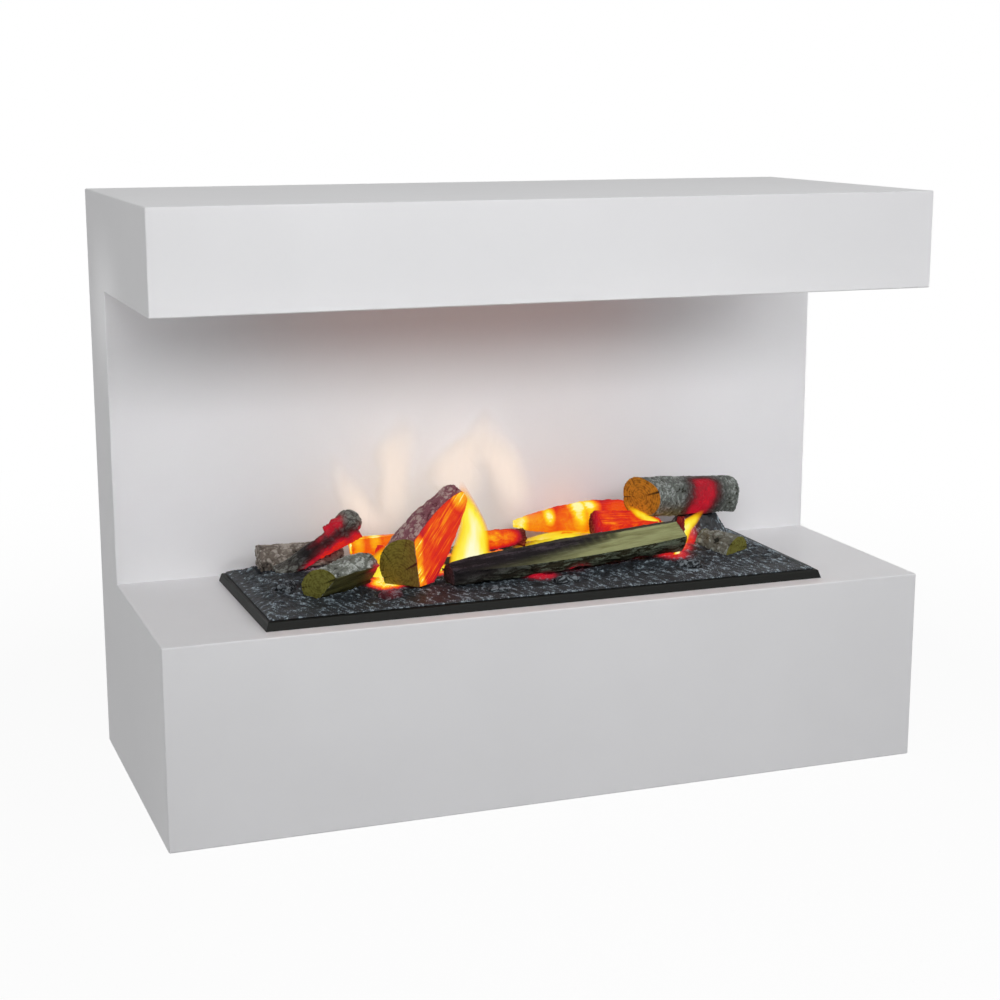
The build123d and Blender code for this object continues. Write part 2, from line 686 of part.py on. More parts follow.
flame_slot = Plane((HOOD_X, SLOT_Y, BED_BOTTOM - DIFFUSER)) * SlotOverall(FLAME_SLOT_LENGTH, FLAME_SLOT_DEPTH)
bed_cut = extrude(flame_slot, amount=DIFFUSER + BED_CROWN + BED_EDGE)
light_row = FLAME_SLOT_DEPTH / 2 + LIGHT_ROW_GAP + LIGHT_HOLE_RADIUS
for side in (-1, 1):
    for index in range(LIGHT_HOLES):
        x = HOOD_X + (index - (LIGHT_HOLES - 1) / 2) * LIGHT_HOLE_PITCH
        bed = bed - rod(x, SLOT_Y + side * light_row, BED_BOTTOM, LIGHT_HOLE_RADIUS, BED_CROWN + BED_EDGE)
pieces["ember_bed"] = bed - bed_cut

diffuser_margin = frame_border + BED_INSET
pieces["glow_diffuser"] = (
    block(
        0,
        BED_Y,
        BED_BOTTOM - DIFFUSER,
        FRAME_LENGTH - 2 * diffuser_margin,
        FRAME_DEPTH - 2 * diffuser_margin,
        DIFFUSER,
    )
    - bed_cut
)

for name, plan in logs.items():
    pieces[name] = make_log(plan)
# A log that another one leans on is notched to it
for name, leaning in (("log_rear_red", "log_round"), ("log_left_rear", "ember_branch")):
    pieces[name] = pieces[name] - make_log(logs[leaning], LOG_FIT)
# A stick that reaches the long front log is notched to it
front_log = make_log(logs["log_front_long"], LOG_FIT)
pieces["kindling"] = Compound(children=[make_log(plan) - front_log for plan in kindling])
pieces["coal_lumps"] = Compound(children=[make_log(plan) for plan in coals])

# Cassette case, a folded box that hangs by its flange in the hearth
case = block(0, BED_Y, CASE_BOTTOM, CASE_LENGTH, CASE_DEPTH, CASE_HEIGHT)
case = case + block(0, BED_Y, BASE_HEIGHT, CASE_LENGTH + 2 * CASE_FLANGE, CASE_DEPTH + 2 * CASE_FLANGE, SHEET)
case = case - block(0, BED_Y, CASE_FLOOR, CASE_LENGTH - 2 * SHEET, CASE_DEPTH - 2 * SHEET, 2 * CASE_HEIGHT)
vent_slot = Box(2 * CASE_LENGTH, CASE_SLOT, CASE_SLOT_HEIGHT)
for index in range(CASE_SLOTS):
    y = BED_Y + (index - (CASE_SLOTS - 1) / 2) * 3 * CASE_SLOT
    case = case - Pos(0, y, CASE_BOTTOM + CASE_HEIGHT / 2) * vent_slot

latch_height = LID_TOP + RUN_GAP
for hand in (-1, 1):
    post_y = BED_Y + hand * LATCH_BACK
    case = case + rod(LATCH_X, post_y, CASE_FLOOR, LATCH_POST_RADIUS, latch_height - CASE_FLOOR)
    case = case + rod(LATCH_X, post_y, latch_height, LATCH_PIN_RADIUS, LATCH_GAUGE)
inlet_z = CASE_FLOOR + INLET_LIFT
case_rear = BED_Y + CASE_DEPTH / 2
inlet_body = Pos(BAY_X, case_rear - INLET_DEPTH / 2, inlet_z) * Box(INLET_LENGTH, INLET_DEPTH, INLET_HEIGHT)
pieces["cassette_case"] = case - inlet_body


def latch(hand):
    """A turning tab whose tip lies over the lid of the sump."""
    strip_outline = Plane((LATCH_X, BED_Y + hand * LATCH_BACK, latch_height)) * Rot(0, 0, -90 * hand)
    reach = Pos(LATCH_REACH / 2, 0, 0) * SlotCenterToCenter(LATCH_REACH, LATCH_WIDTH)
    hole = Circle(LATCH_PIN_RADIUS + LATCH_PIN_FIT)
    return extrude(strip_outline * (reach - hole), amount=LATCH_GAUGE)


pieces["latch_front"] = latch(-1)
pieces["latch_rear"] = latch(1)

# Sump: an open tray with the valve post and the float's guide moulded in
sump_x = SUMP_LEFT + SUMP_LENGTH / 2
cap_bottom = LID_TOP - CAP_BELOW_TANK
stem_bottom = cap_bottom - STEM_BELOW_CAP
float_y = BED_Y + FLOAT_BACK
sump = rounded_block(sump_x, BED_Y, CASE_FLOOR, SUMP_LENGTH, SUMP_DEPTH, SUMP_HEIGHT, SUMP_CORNER)
sump = sump - rounded_block(
    sump_x,
    BED_Y,
    SUMP_BASIN,
    SUMP_LENGTH - 2 * SUMP_WALL,
    SUMP_DEPTH - 2 * SUMP_WALL,
    SUMP_HEIGHT,
    SUMP_CORNER - SUMP_WALL,
)
sump = sump + rod(TANK_X, BED_Y, SUMP_BASIN, STEM_RADIUS, stem_bottom - RUN_GAP - SUMP_BASIN)
sump = sump + rod(FLOAT_X, float_y, SUMP_BASIN, 2 * GUIDE_RADIUS, FLOAT_STOP)
guide_height = FLOAT_STOP + FLOAT_HEIGHT + FLOAT_TRAVEL + GUIDE_RADIUS
sump = sump + rod(FLOAT_X, float_y, SUMP_BASIN, GUIDE_RADIUS, guide_height)
pieces["sump_tray"] = sump

float_body = rod(FLOAT_X, float_y, SUMP_BASIN + FLOAT_STOP, FLOAT_RADIUS, FLOAT_HEIGHT)
float_body = fillet(float_body.edges().filter_by(GeomType.CIRCLE), FLOAT_HEIGHT / 5)
pieces["level_float"] = float_body - rod(
    FLOAT_X, float_y, SUMP_BASIN, GUIDE_RADIUS + GUIDE_FIT, guide_height + FLOAT_HEIGHT
)

transducers = []
transducer_discs = []
for hand in (-1, 1):
    x = HOOD_X + hand * TRANSDUCER_SPACING / 2
    puck = rod(x, BED_Y, SUMP_BASIN, TRANSDUCER_RADIUS, TRANSDUCER_HEIGHT)
    puck = chamfer(puck.edges().group_by(Axis.Z)[-1], TRANSDUCER_HEIGHT / 5)
    disc = rod(x, BED_Y, SUMP_BASIN + TRANSDUCER_HEIGHT - DISC_HEIGHT, DISC_RADIUS, DISC_HEIGHT)
    transducers.append(puck - disc)
    transducer_discs.append(disc)
pieces["transducers"] = Compound(children=transducers)
pieces["transducer_discs"] = Compound(children=transducer_discs)

lid_hole = CAP_RADIUS + CAP_RIB_RADIUS + LID_HOLE_FIT
lid = rounded_block(sump_x, BED_Y, SUMP_TOP, SUMP_LENGTH, SUMP_DEPTH, LID, SUMP_CORNER)
lid = lid - rod(TANK_X, BED_Y, SUMP_TOP, lid_hole, LID)
lid = lid - block(HOOD_X, BED_Y, SUMP_TOP, HOOD_LENGTH - 2 * HOOD_WALL, HOOD_DEPTH - 2 * HOOD_WALL, LID)
lid = lid - rod(FAN_X, BED_Y, SUMP_TOP, FAN_BORE_RADIUS, LID)
pieces["sump_lid"] = lid

# Mist hood: a tapering duct from the sump up to the flame slot
hood_neck = LID_TOP + HOOD_GAUGE
hood_top = BASE_HEIGHT - HOOD_TOP_GAP


def hood_duct(inset):
    """The duct's outline, drawn in by the wall where inset is given."""
    return tapered_block(
        (HOOD_X, BED_Y, hood_neck, HOOD_LENGTH - 2 * inset, HOOD_DEPTH - 2 * inset),
        (HOOD_X, SLOT_Y, hood_top, HOOD_TOP_LENGTH - 2 * inset, HOOD_TOP_DEPTH - 2 * inset),
    )


hood = hood_duct(0) - hood_duct(HOOD_WALL)
hood_plate = block(
    HOOD_X, BED_Y, LID_TOP, HOOD_LENGTH + 2 * HOOD_FLANGE, HOOD_DEPTH + 2 * HOOD_FLANGE, HOOD_GAUGE
)
hood_plate = hood_plate - block(
    HOOD_X, BED_Y, LID_TOP, HOOD_LENGTH - 2 * HOOD_WALL, HOOD_DEPTH - 2 * HOOD_WALL, HOOD_GAUGE
)
pieces["mist_hood"] = hood + hood_plate

# Water tank with a grip across a recess in its top, and a screw neck underneath
tank_top = LID_TOP + TANK_HEIGHT
neck_end = LID_TOP - NECK_LENGTH
neck_bore = NECK_RADIUS - NECK_WALL
tank = rounded_block(TANK_X, BED_Y, LID_TOP, TANK_LENGTH, TANK_DEPTH, TANK_HEIGHT, TANK_CORNER)
tank_void = rounded_block(
    TANK_X,
    BED_Y,
    LID_TOP + TANK_WALL,
    TANK_LENGTH - 2 * TANK_WALL,
    TANK_DEPTH - 2 * TANK_WALL,
    TANK_HEIGHT - 2 * TANK_WALL,
    TANK_CORNER - TANK_WALL,
)
tank_void = tank_void - rounded_block(
    TANK_X,
    BED_Y,
    tank_top - GRIP_RECESS - TANK_WALL,
    GRIP_LENGTH + 2 * TANK_WALL,
    GRIP_DEPTH + 2 * TANK_WALL,
    GRIP_RECESS + TANK_WALL,
    TANK_CORNER,
)
tank = tank - tank_void
tank = tank - rounded_block(
    TANK_X, BED_Y, tank_top - GRIP_RECESS, GRIP_LENGTH, GRIP_DEPTH, GRIP_RECESS, TANK_CORNER - TANK_WALL
)
grip = Pos(TANK_X, BED_Y, tank_top - GRIP_RADIUS) * Rot(90, 0, 0)
tank = tank + grip * Cylinder(GRIP_RADIUS, GRIP_DEPTH + TANK_WALL)
tank = tank + rod(TANK_X, BED_Y, neck_end, NECK_RADIUS, NECK_LENGTH)
pieces["water_tank"] = tank - rod(TANK_X, BED_Y, neck_end, neck_bore, NECK_LENGTH + TANK_WALL)

# Tank cap: a ribbed screw cap with a cage that guides the valve
cap_top = LID_TOP - CAP_SKIRT_GAP
cap_floor = cap_bottom + CAP_FLOOR
gasket_bottom = neck_end - GASKET
cage_top = cap_floor + CAGE_INSIDE
cap = rod(TANK_X, BED_Y, cap_bottom, CAP_RADIUS, cap_top - cap_bottom)
for index in range(CAP_RIBS):
    angle = 2 * pi * index / CAP_RIBS
    rib_x = TANK_X + CAP_RADIUS * cos(angle)
    rib_y = BED_Y + CAP_RADIUS * sin(angle)
    cap = cap + rod(rib_x, rib_y, cap_bottom, CAP_RIB_RADIUS, cap_top - cap_bottom)
cap = cap - rod(TANK_X, BED_Y, gasket_bottom, NECK_RADIUS + CAP_FIT, cap_top - gasket_bottom)
cap = cap - rod(TANK_X, BED_Y, cap_floor, neck_bore, cap_top - cap_floor)
cap = cap - rod(TANK_X, BED_Y, cap_bottom, STEM_RADIUS + FLOW_GAP, CAP_FLOOR)
for index in range(4):
    angle = pi / 4 + pi / 2 * index
    post_x = TANK_X + CAGE_POST_CIRCLE * cos(angle)
    post_y = BED_Y + CAGE_POST_CIRCLE * sin(angle)
    cap = cap + rod(post_x, post_y, cap_floor, CAGE_POST_RADIUS, CAGE_INSIDE)
cage_disc = rod(TANK_X, BED_Y, cage_top, CAGE_RADIUS, CAGE_TOP)
cage_disc = cage_disc - rod(TANK_X, BED_Y, cage_top, GUIDE_PIN_RADIUS + GUIDE_PIN_FIT, CAGE_TOP)
pieces["tank_cap"] = cap + cage_disc
pieces["cap_gasket"] = rod(TANK_X, BED_Y, gasket_bottom, NECK_RADIUS, GASKET) - rod(
    TANK_X, BED_Y, gasket_bottom, neck_bore, GASKET
)

# Valve plunger, held open by the post in the sump, and its spring
disc_bottom = cap_floor + VALVE_OPEN
disc_top = disc_bottom + VALVE_DISC
plunger = rod(TANK_X, BED_Y, stem_bottom, STEM_RADIUS, disc_bottom - stem_bottom)
plunger = plunger + rod(TANK_X, BED_Y, disc_bottom, VALVE_DISC_RADIUS, VALVE_DISC)
pin_height = cage_top + CAGE_TOP + GUIDE_PIN_ABOVE - disc_top
pieces["valve_plunger"] = plunger + rod(TANK_X, BED_Y, disc_top, GUIDE_PIN_RADIUS, pin_height)

spring_height = cage_top - disc_top - 2 * SPRING_WIRE
spring_path = Helix(spring_height / SPRING_TURNS, spring_height, SPRING_RADIUS)
spring_end = Plane(spring_path @ 0, z_dir=spring_path % 0) * Circle(SPRING_WIRE)
spring = sweep(spring_end, path=spring_path, is_frenet=True)
pieces["valve_spring"] = Pos(TANK_X, BED_Y, disc_top + SPRING_WIRE) * spring

# Fan on the lid of the sump
fan = rounded_block(FAN_X, BED_Y, LID_TOP, FAN_SIZE, FAN_SIZE, FAN_HEIGHT, FAN_STRUT)
fan = fan - rod(FAN_X, BED_Y, LID_TOP, FAN_BORE_RADIUS, FAN_HEIGHT)
for turn in (0, 90):
    strut = Pos(FAN_X, BED_Y, LID_TOP + FAN_BASE / 2) * Rot(0, 0, turn + 45)
    fan = fan + strut * Box(2 * FAN_BORE_RADIUS + FAN_STRUT, FAN_STRUT, FAN_BASE)
fan = fan + rod(FAN_X, BED_Y, LID_TOP, FAN_BASE_RADIUS, FAN_BASE)
fan = fan - rod(FAN_X, BED_Y, LID_TOP, FAN_SHAFT_RADIUS + FAN_SHAFT_FIT, FAN_BASE)
for side_x in (-1, 1):
    for side_y in (-1, 1):
        hole_x = FAN_X + side_x * FAN_SCREW_PITCH / 2
        hole_y = BED_Y + side_y * FAN_SCREW_PITCH / 2
        fan = fan - rod(hole_x, hole_y, LID_TOP, FAN_SCREW_HOLE, FAN_HEIGHT)
pieces["fan_frame"] = fan

rotor_bottom = LID_TOP + FAN_BASE + RUN_GAP
tip_radius = FAN_BORE_RADIUS - FAN_TIP_GAP
blade_middle = FAN_HUB_HEIGHT / 2


def blade_section(radius, chord, pitch):
    """A thin slice of a blade, square to the radius."""
    place = Plane((radius, 0, blade_middle), x_dir=(0, 1, 0), z_dir=(1, 0, 0))
    return place * Rectangle(chord, FAN_BLADE, rotation=pitch)


root_chord = FAN_BLADE_HEIGHT / cos(radians(90 - FAN_BLADE_PITCH - FAN_BLADE_TWIST))
tip_chord = FAN_BLADE_HEIGHT / cos(radians(90 - FAN_BLADE_PITCH + FAN_BLADE_TWIST))
blade = loft(
    [
        blade_section(FAN_HUB_RADIUS - FAN_BLADE, root_chord, FAN_BLADE_PITCH + FAN_BLADE_TWIST),
        blade_section(FAN_BORE_RADIUS, tip_chord, FAN_BLADE_PITCH - FAN_BLADE_TWIST),
    ]
)
blade = blade & rod(0, 0, 0, tip_radius, FAN_HUB_HEIGHT)
rotor = rod(0, 0, 0, FAN_HUB_RADIUS, FAN_HUB_HEIGHT)
rotor = fillet(rotor.edges().group_by(Axis.Z)[-1], FAN_BLADE)
for index in range(FAN_BLADES):
    rotor = rotor + Rot(0, 0, 360 * index / FAN_BLADES) * blade
rotor = rotor + rod(0, 0, -FAN_BASE, FAN_SHAFT_RADIUS, FAN_BASE)
pieces["fan_rotor"] = Pos(FAN_X, BED_Y, rotor_bottom) * rotor

# Lamps on bent rails along the front and rear walls of the case
lamp_seat = CASE_FLOOR + LAMP_LIFT
lamp_rails = []
lamps = []


def cup_profile(inset):
    """Half outline of the reflector cup; inset gives its inner face."""
    foot = (LAMP_BASE_RADIUS + SHEET - inset, 0, inset)
    belly = (LAMP_BELLY - inset, 0, LAMP_CUP / 2)
    rim = (LAMP_RADIUS - inset, 0, LAMP_CUP)
    edge = Polyline(rim, (0, 0, LAMP_CUP), (0, 0, inset), foot)
    return make_face(edge + ThreePointArc(foot, belly, rim))


cup = revolve(cup_profile(0), axis=Axis.Z) - revolve(cup_profile(LAMP_GLASS), axis=Axis.Z)
lamp = cup + rod(0, 0, -LAMP_BASE, LAMP_BASE_RADIUS, LAMP_BASE + LAMP_GLASS)
capsule = rod(0, 0, LAMP_GLASS, CAPSULE_RADIUS, CAPSULE_HEIGHT)
lamp = lamp + fillet(capsule.edges().group_by(Axis.Z)[-1], CAPSULE_RADIUS * 0.9)
for hand in (-1, 1):
    shelf_y = BED_Y + hand * (CASE_INSIDE_Y - LAMP_RAIL_DEPTH / 2)
    rail_shelf = block(HOOD_X, shelf_y, lamp_seat - SHEET, LAMP_RAIL_LENGTH, LAMP_RAIL_DEPTH, SHEET)
    lip_y = BED_Y + hand * (CASE_INSIDE_Y - SHEET / 2)
    rail_shelf = rail_shelf + block(HOOD_X, lip_y, lamp_seat, LAMP_RAIL_LENGTH, SHEET, LAMP_RAIL_LIP)
    for side in (-1, 1):
        lamp_x = HOOD_X + side * LAMP_SPACING / 2
        lamp_y = BED_Y + hand * LAMP_BACK
        hole = rod(lamp_x, lamp_y, lamp_seat - SHEET, LAMP_BASE_RADIUS + RUN_GAP, SHEET)
        rail_shelf = rail_shelf - hole
        lamps.append(Pos(lamp_x, lamp_y, lamp_seat) * lamp)
    lamp_rails.append(rail_shelf)
pieces["lamp_rails"] = Compound(children=lamp_rails)
pieces["lamps"] = Compound(children=lamps)

# Electronics bay at the right end of the case
bay_front = BED_Y - CASE_INSIDE_Y
bay_back = BED_Y + CASE_INSIDE_Y
bay = box(BAY_LEFT, BAY_LEFT + SHEET, bay_front, bay_back, CASE_FLOOR, BAY_TOP)
bay = bay + box(BAY_LEFT, CASE_INSIDE_X, bay_front, bay_back, BAY_TOP - SHEET, BAY_TOP)
switch_y = BED_Y - SWITCH_FRONT
knob_y = BED_Y - KNOB_FRONT
bay = bay - block(BAY_X, switch_y, BAY_TOP - SHEET, SWITCH_LENGTH, SWITCH_DEPTH, SHEET)
pieces["bay_wall"] = bay - rod(BAY_X, knob_y, BAY_TOP - SHEET, POT_BUSH_RADIUS, SHEET)

supply = block(BAY_X, BED_Y, CASE_FLOOR + SUPPLY_FEET, SUPPLY_LENGTH, SUPPLY_DEPTH, SUPPLY_HEIGHT)
supply = fillet(supply.edges().filter_by(Axis.Z), SUPPLY_FEET)
for side_x in (-1, 1):
    for side_y in (-1, 1):
        foot_x = BAY_X + side_x * (SUPPLY_LENGTH / 2 - 2 * SUPPLY_FEET)
        foot_y = BED_Y + side_y * (SUPPLY_DEPTH / 2 - 2 * SUPPLY_FEET)
        supply = supply + rod(foot_x, foot_y, CASE_FLOOR, SUPPLY_FEET, SUPPLY_FEET)
for index in range(SUPPLY_VENTS):
    y = BED_Y + (index - (SUPPLY_VENTS - 1) / 2) * 3 * SUPPLY_FEET
    vent_z = CASE_FLOOR + SUPPLY_FEET + SUPPLY_HEIGHT - SUPPLY_FEET
    supply = supply - block(BAY_X, y, vent_z, SUPPLY_LENGTH - 6 * SUPPLY_FEET, SUPPLY_FEET, SUPPLY_FEET)
pieces["power_supply"] = supply

board_x = BAY_LEFT + SHEET + BOARD_STANDOFF
board_z = CASE_FLOOR + SUPPLY_FEET + SUPPLY_HEIGHT + BOARD_SUPPLY_GAP
board_top = BAY_TOP - SHEET - BOARD_TOP_GAP
board_middle = (board_z + board_top) / 2
board_front = BED_Y - BOARD_DEPTH / 2
board_back = BED_Y + BOARD_DEPTH / 2
board = box(board_x, board_x + BOARD, board_front, board_back, board_z, board_top)
for side_y in (-1, 1):
    for stand_z in (board_z + BOARD_STANDOFF, board_top - BOARD_STANDOFF):
        stand_y = BED_Y + side_y * (BOARD_DEPTH / 2 - BOARD_STANDOFF)
        stand = Pos(board_x - BOARD_STANDOFF / 2, stand_y, stand_z) * Rot(0, 90, 0)
        board = board + stand * Cylinder(BOARD_STANDOFF / 3, BOARD_STANDOFF)
board_face = board_x + BOARD
for index in range(RELAYS):
    y = BED_Y + (index - (RELAYS - 1) / 2) * (RELAY_SIZE + BOARD_STANDOFF)
    relay = Pos(board_face + RELAY_SIZE / 2, y, board_middle) * Box(RELAY_SIZE, RELAY_SIZE, RELAY_SIZE)
    board = board + relay
for side in (-1, 1):
    y = BED_Y + side * (BOARD_DEPTH / 2 - 2 * BOARD_STANDOFF)
    can = Pos(board_face + RELAY_SIZE / 2, y, board_middle) * Rot(0, 90, 0)
    board = board + can * Cylinder(BOARD_STANDOFF / 1.2, RELAY_SIZE)
pieces["control_board"] = board

# Rocker switch, stored with its left half pressed
pivot_z = BAY_TOP + SWITCH_LIP / 2
bezel_lip = SWITCH_LIP + SWITCH_WALL
bezel = block(BAY_X, switch_y, BAY_TOP - SWITCH_BODY, SWITCH_LENGTH, SWITCH_DEPTH, SWITCH_BODY)
bezel = bezel + block(
    BAY_X, switch_y, BAY_TOP, SWITCH_LENGTH + 2 * bezel_lip, SWITCH_DEPTH + 2 * bezel_lip, SWITCH_LIP
)
cavity_length = SWITCH_LENGTH - 2 * SWITCH_WALL
cavity_depth = SWITCH_DEPTH - 2 * SWITCH_WALL
bezel = bezel - block(
    BAY_X,
    switch_y,
    BAY_TOP - SWITCH_BODY + SWITCH_WALL,
    cavity_length,
    cavity_depth,
    SWITCH_BODY + SWITCH_LIP,
)
pin_reach = cavity_depth / 2 + ROCKER_PIN_LENGTH
pivot = Pos(BAY_X, switch_y, pivot_z) * Rot(90, 0, 0)
pieces["switch_bezel"] = bezel - pivot * Cylinder(ROCKER_PIN_RADIUS + ROCKER_PIN_FIT, 2 * pin_reach)

rocker_half = cavity_length / 2 - ROCKER_FIT - ROCKER_CROWN / 4
rocker_points = [
    (-rocker_half, ROCKER_CROWN),
    (0, ROCKER_CROWN - rocker_half * sin(radians(ROCKER_TILT))),
    (rocker_half, ROCKER_CROWN),
    (rocker_half - ROCKER_CROWN, -ROCKER_DROP),
    (-rocker_half + ROCKER_CROWN, -ROCKER_DROP),
]
rocker_outline = make_face(Polyline(*[(x, 0, z) for x, z in rocker_points], close=True))
rocker = extrude(rocker_outline, amount=cavity_depth / 2 - ROCKER_FIT, dir=(0, 1, 0), both=True)
rocker = rocker + Rot(90, 0, 0) * Cylinder(ROCKER_PIN_RADIUS, 2 * pin_reach)
pieces["switch_rocker"] = Pos(BAY_X, switch_y, pivot_z) * Rot(0, -ROCKER_TILT, 0) * rocker

# Flame height control
bush_top = BAY_TOP + SWITCH_LIP
pot_bottom = BAY_TOP - SHEET - POT_HEIGHT
pot = rod(BAY_X, knob_y, pot_bottom, POT_RADIUS, POT_HEIGHT)
pot = pot + rod(BAY_X, knob_y, pot_bottom + POT_HEIGHT, POT_BUSH_RADIUS, SHEET + SWITCH_LIP)
shaft_bottom = pot_bottom + POT_HEIGHT / 4
pieces["potentiometer"] = pot - rod(BAY_X, knob_y, shaft_bottom, SHAFT_RADIUS + SHAFT_FIT, 2 * POT_HEIGHT)

knob_bottom = bush_top + KNOB_GAP
knob = rod(BAY_X, knob_y, knob_bottom, KNOB_RADIUS, KNOB_HEIGHT)
knob = chamfer(knob.edges().group_by(Axis.Z)[-1], KNOB_FLUTE_RADIUS)
for index in range(KNOB_FLUTES):
    angle = 2 * pi * index / KNOB_FLUTES
    flute_x = BAY_X + KNOB_RADIUS * cos(angle)
    flute_y = knob_y + KNOB_RADIUS * sin(angle)
    knob = knob - rod(flute_x, flute_y, knob_bottom, KNOB_FLUTE_RADIUS, KNOB_HEIGHT)
shaft_foot = shaft_bottom + RUN_GAP
pieces["flame_knob"] = knob + rod(BAY_X, knob_y, shaft_foot, SHAFT_RADIUS, knob_bottom - shaft_foot)

# Mains inlet in the rear wall of the case
socket_length = INLET_LENGTH - 2 * INLET_WALL
socket_height = INLET_HEIGHT - 2 * INLET_WALL
inlet_face = case_rear + INLET_LIP
flange_plate = Box(INLET_LENGTH + 2 * INLET_FLANGE, INLET_LIP, INLET_HEIGHT + INLET_FLANGE)
inlet = inlet_body + Pos(BAY_X, case_rear + INLET_LIP / 2, inlet_z) * flange_plate
socket_depth = INLET_DEPTH + INLET_LIP - INLET_WALL
socket = Pos(BAY_X, inlet_face - socket_depth / 2, inlet_z) * Box(socket_length, socket_depth, socket_height)
pieces["mains_inlet"] = inlet - socket
inlet_pins = []
for step, rise in ((-1, 0), (0, 1), (1, 0)):
    pin_x = BAY_X + step * INLET_PIN_PITCH
    pin_z = inlet_z + (rise - 0.5) * INLET_PIN
    pin_y = inlet_face - socket_depth + INLET_PIN_LENGTH / 2
    inlet_pins.append(Pos(pin_x, pin_y, pin_z) * Box(INLET_PIN, INLET_PIN_LENGTH, 2 * INLET_PIN))
pieces["inlet_pins"] = Compound(children=inlet_pins)

os.makedirs("parts", exist_ok=True)
for name, shape in pieces.items():
    export_step(shape, f"parts/{name}.step")
print(len(pieces), "pieces written")
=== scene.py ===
# %% [markdown]
# # An electric log fire, dressed for its portrait
# The object is a white C-shaped surround with a lift-out bed of cast logs in it. Its pieces come in
# as solids of the right size. This lesson gives them their finishes, and models again the pieces
# whose skin is too rough for plain solids: the logs, the bed of embers and the flames.

# %% Load the solids
import json
from math import atan2, cos, exp, floor, pi, radians, sin, sqrt

import bmesh
import bpy
from mathutils import Matrix, Vector, noise


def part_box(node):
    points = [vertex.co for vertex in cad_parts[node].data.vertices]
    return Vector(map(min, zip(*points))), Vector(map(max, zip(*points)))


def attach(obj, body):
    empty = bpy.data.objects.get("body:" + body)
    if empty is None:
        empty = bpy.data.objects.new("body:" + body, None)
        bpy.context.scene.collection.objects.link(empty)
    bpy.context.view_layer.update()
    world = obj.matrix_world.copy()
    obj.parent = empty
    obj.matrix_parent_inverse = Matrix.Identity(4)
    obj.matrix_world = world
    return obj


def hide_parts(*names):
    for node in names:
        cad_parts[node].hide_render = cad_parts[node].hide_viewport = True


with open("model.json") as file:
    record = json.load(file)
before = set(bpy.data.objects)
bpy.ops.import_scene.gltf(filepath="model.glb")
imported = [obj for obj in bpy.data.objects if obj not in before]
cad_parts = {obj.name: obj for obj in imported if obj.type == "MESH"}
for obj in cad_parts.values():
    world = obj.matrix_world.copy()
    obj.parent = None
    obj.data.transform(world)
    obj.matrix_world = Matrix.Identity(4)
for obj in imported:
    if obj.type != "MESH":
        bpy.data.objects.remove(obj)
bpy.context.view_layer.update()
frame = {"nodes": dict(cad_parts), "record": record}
MM = 0.001
nodes = frame["nodes"]

# %% [markdown]
# Two small tools serve every finish. Colours are written as screen colours, as a painter would pick
# them, and light is worked out on a linear scale, so one function turns the first into the second.
# The other adds one shader node with its settings and links, so that a finish reads as a short list.

# %% Colour and node helpers
def linear(code):
    """A linear colour with full alpha from a screen colour such as "d9d7d4"."""
    channels = [int(code[place:place + 2], 16) / 255 for place in (0, 2, 4)]
    return [c / 12.92 if c <= 0.04045 else ((c + 0.055) / 1.055) ** 2.4 for c in channels] + [1.0]


def add_node(tree, kind, links=None, ramp=None, **settings):
    """Adds one node; links maps its sockets to values or to other nodes' outputs."""
    node = tree.nodes.new("ShaderNode" + kind)
    for name, value in settings.items():
        setattr(node, name, value)
    for socket, value in (links or {}).items():
        if isinstance(value, bpy.types.NodeSocket):
            tree.links.new(value, node.inputs[socket])
        else:
            node.inputs[socket].default_value = value
    if ramp:
        while len(node.color_ramp.elements) < len(ramp):
            node.color_ramp.elements.new(1.0)
        for element, (place, code) in zip(node.color_ramp.elements, ramp):
            element.position = place
            element.color = linear(code)
    return node


def per_metre(size_mm):
    """The texture scale whose pattern repeats about every size_mm millimetres."""
    return 1 / (size_mm * MM)


def new_material(name):
    """A material with its tree, its main shader and the piece's own coordinates."""
    material = bpy.data.materials.new(name)
    material.use_nodes = True
    tree = material.node_tree
    place = add_node(tree, "TexCoord").outputs["Object"]
    return material, tree, tree.nodes["Principled BSDF"], place


print("screen grey 808080 is", round(linear("808080")[0], 3), "in linear light")

# %% [markdown]
# The camera stands where the photograph was taken from: to the left of the fire and a little above
# the mantel. Its place was worked out from the corners of the surround, so it is set before any look.

# %% Camera
CAMERA_PLACE = (-0.6968, -1.8601, 0.6991)
CAMERA_TURN = 20.40
CAMERA_TILT = 12.06
CAMERA_LENS = 68.97
SENSOR = 36.0

eye = bpy.data.cameras.new("portrait_camera")
eye.sensor_width = SENSOR
eye.lens = CAMERA_LENS
camera = bpy.data.objects.new("portrait_camera", eye)
camera.location = CAMERA_PLACE
camera.rotation_euler = (radians(90 - CAMERA_TILT), 0, radians(-CAMERA_TURN))
bpy.context.scene.collection.objects.link(camera)
bpy.context.scene.camera = camera
bpy.context.scene.view_settings.view_transform = "Standard"
print("camera", [round(c, 2) for c in camera.location], "lens", eye.lens)

# %% [markdown]
# The studio is a pale floor under a white sky. The camera and mirrors see the sky as plain white,
# while the light it sheds is set apart from that, low enough for white lacquer to stay below white.
# The floor takes a faint shadow close to the object and fades to plain white further off, so that no
# horizon shows.

# %% Studio sky and floor
SKY_LIGHT = 0.22
FLOOR_SIZE = 8.0
# how much of the light that falls on it the floor shows near the object, and its own white there
FLOOR_SHARE_LIT = 0.12
FLOOR_WHITE = 1.07
# metres from the middle at which that has faded out, and the nearness at which it is full
SHADOW_REACH = 1.8
FULL_NEARNESS = 0.4


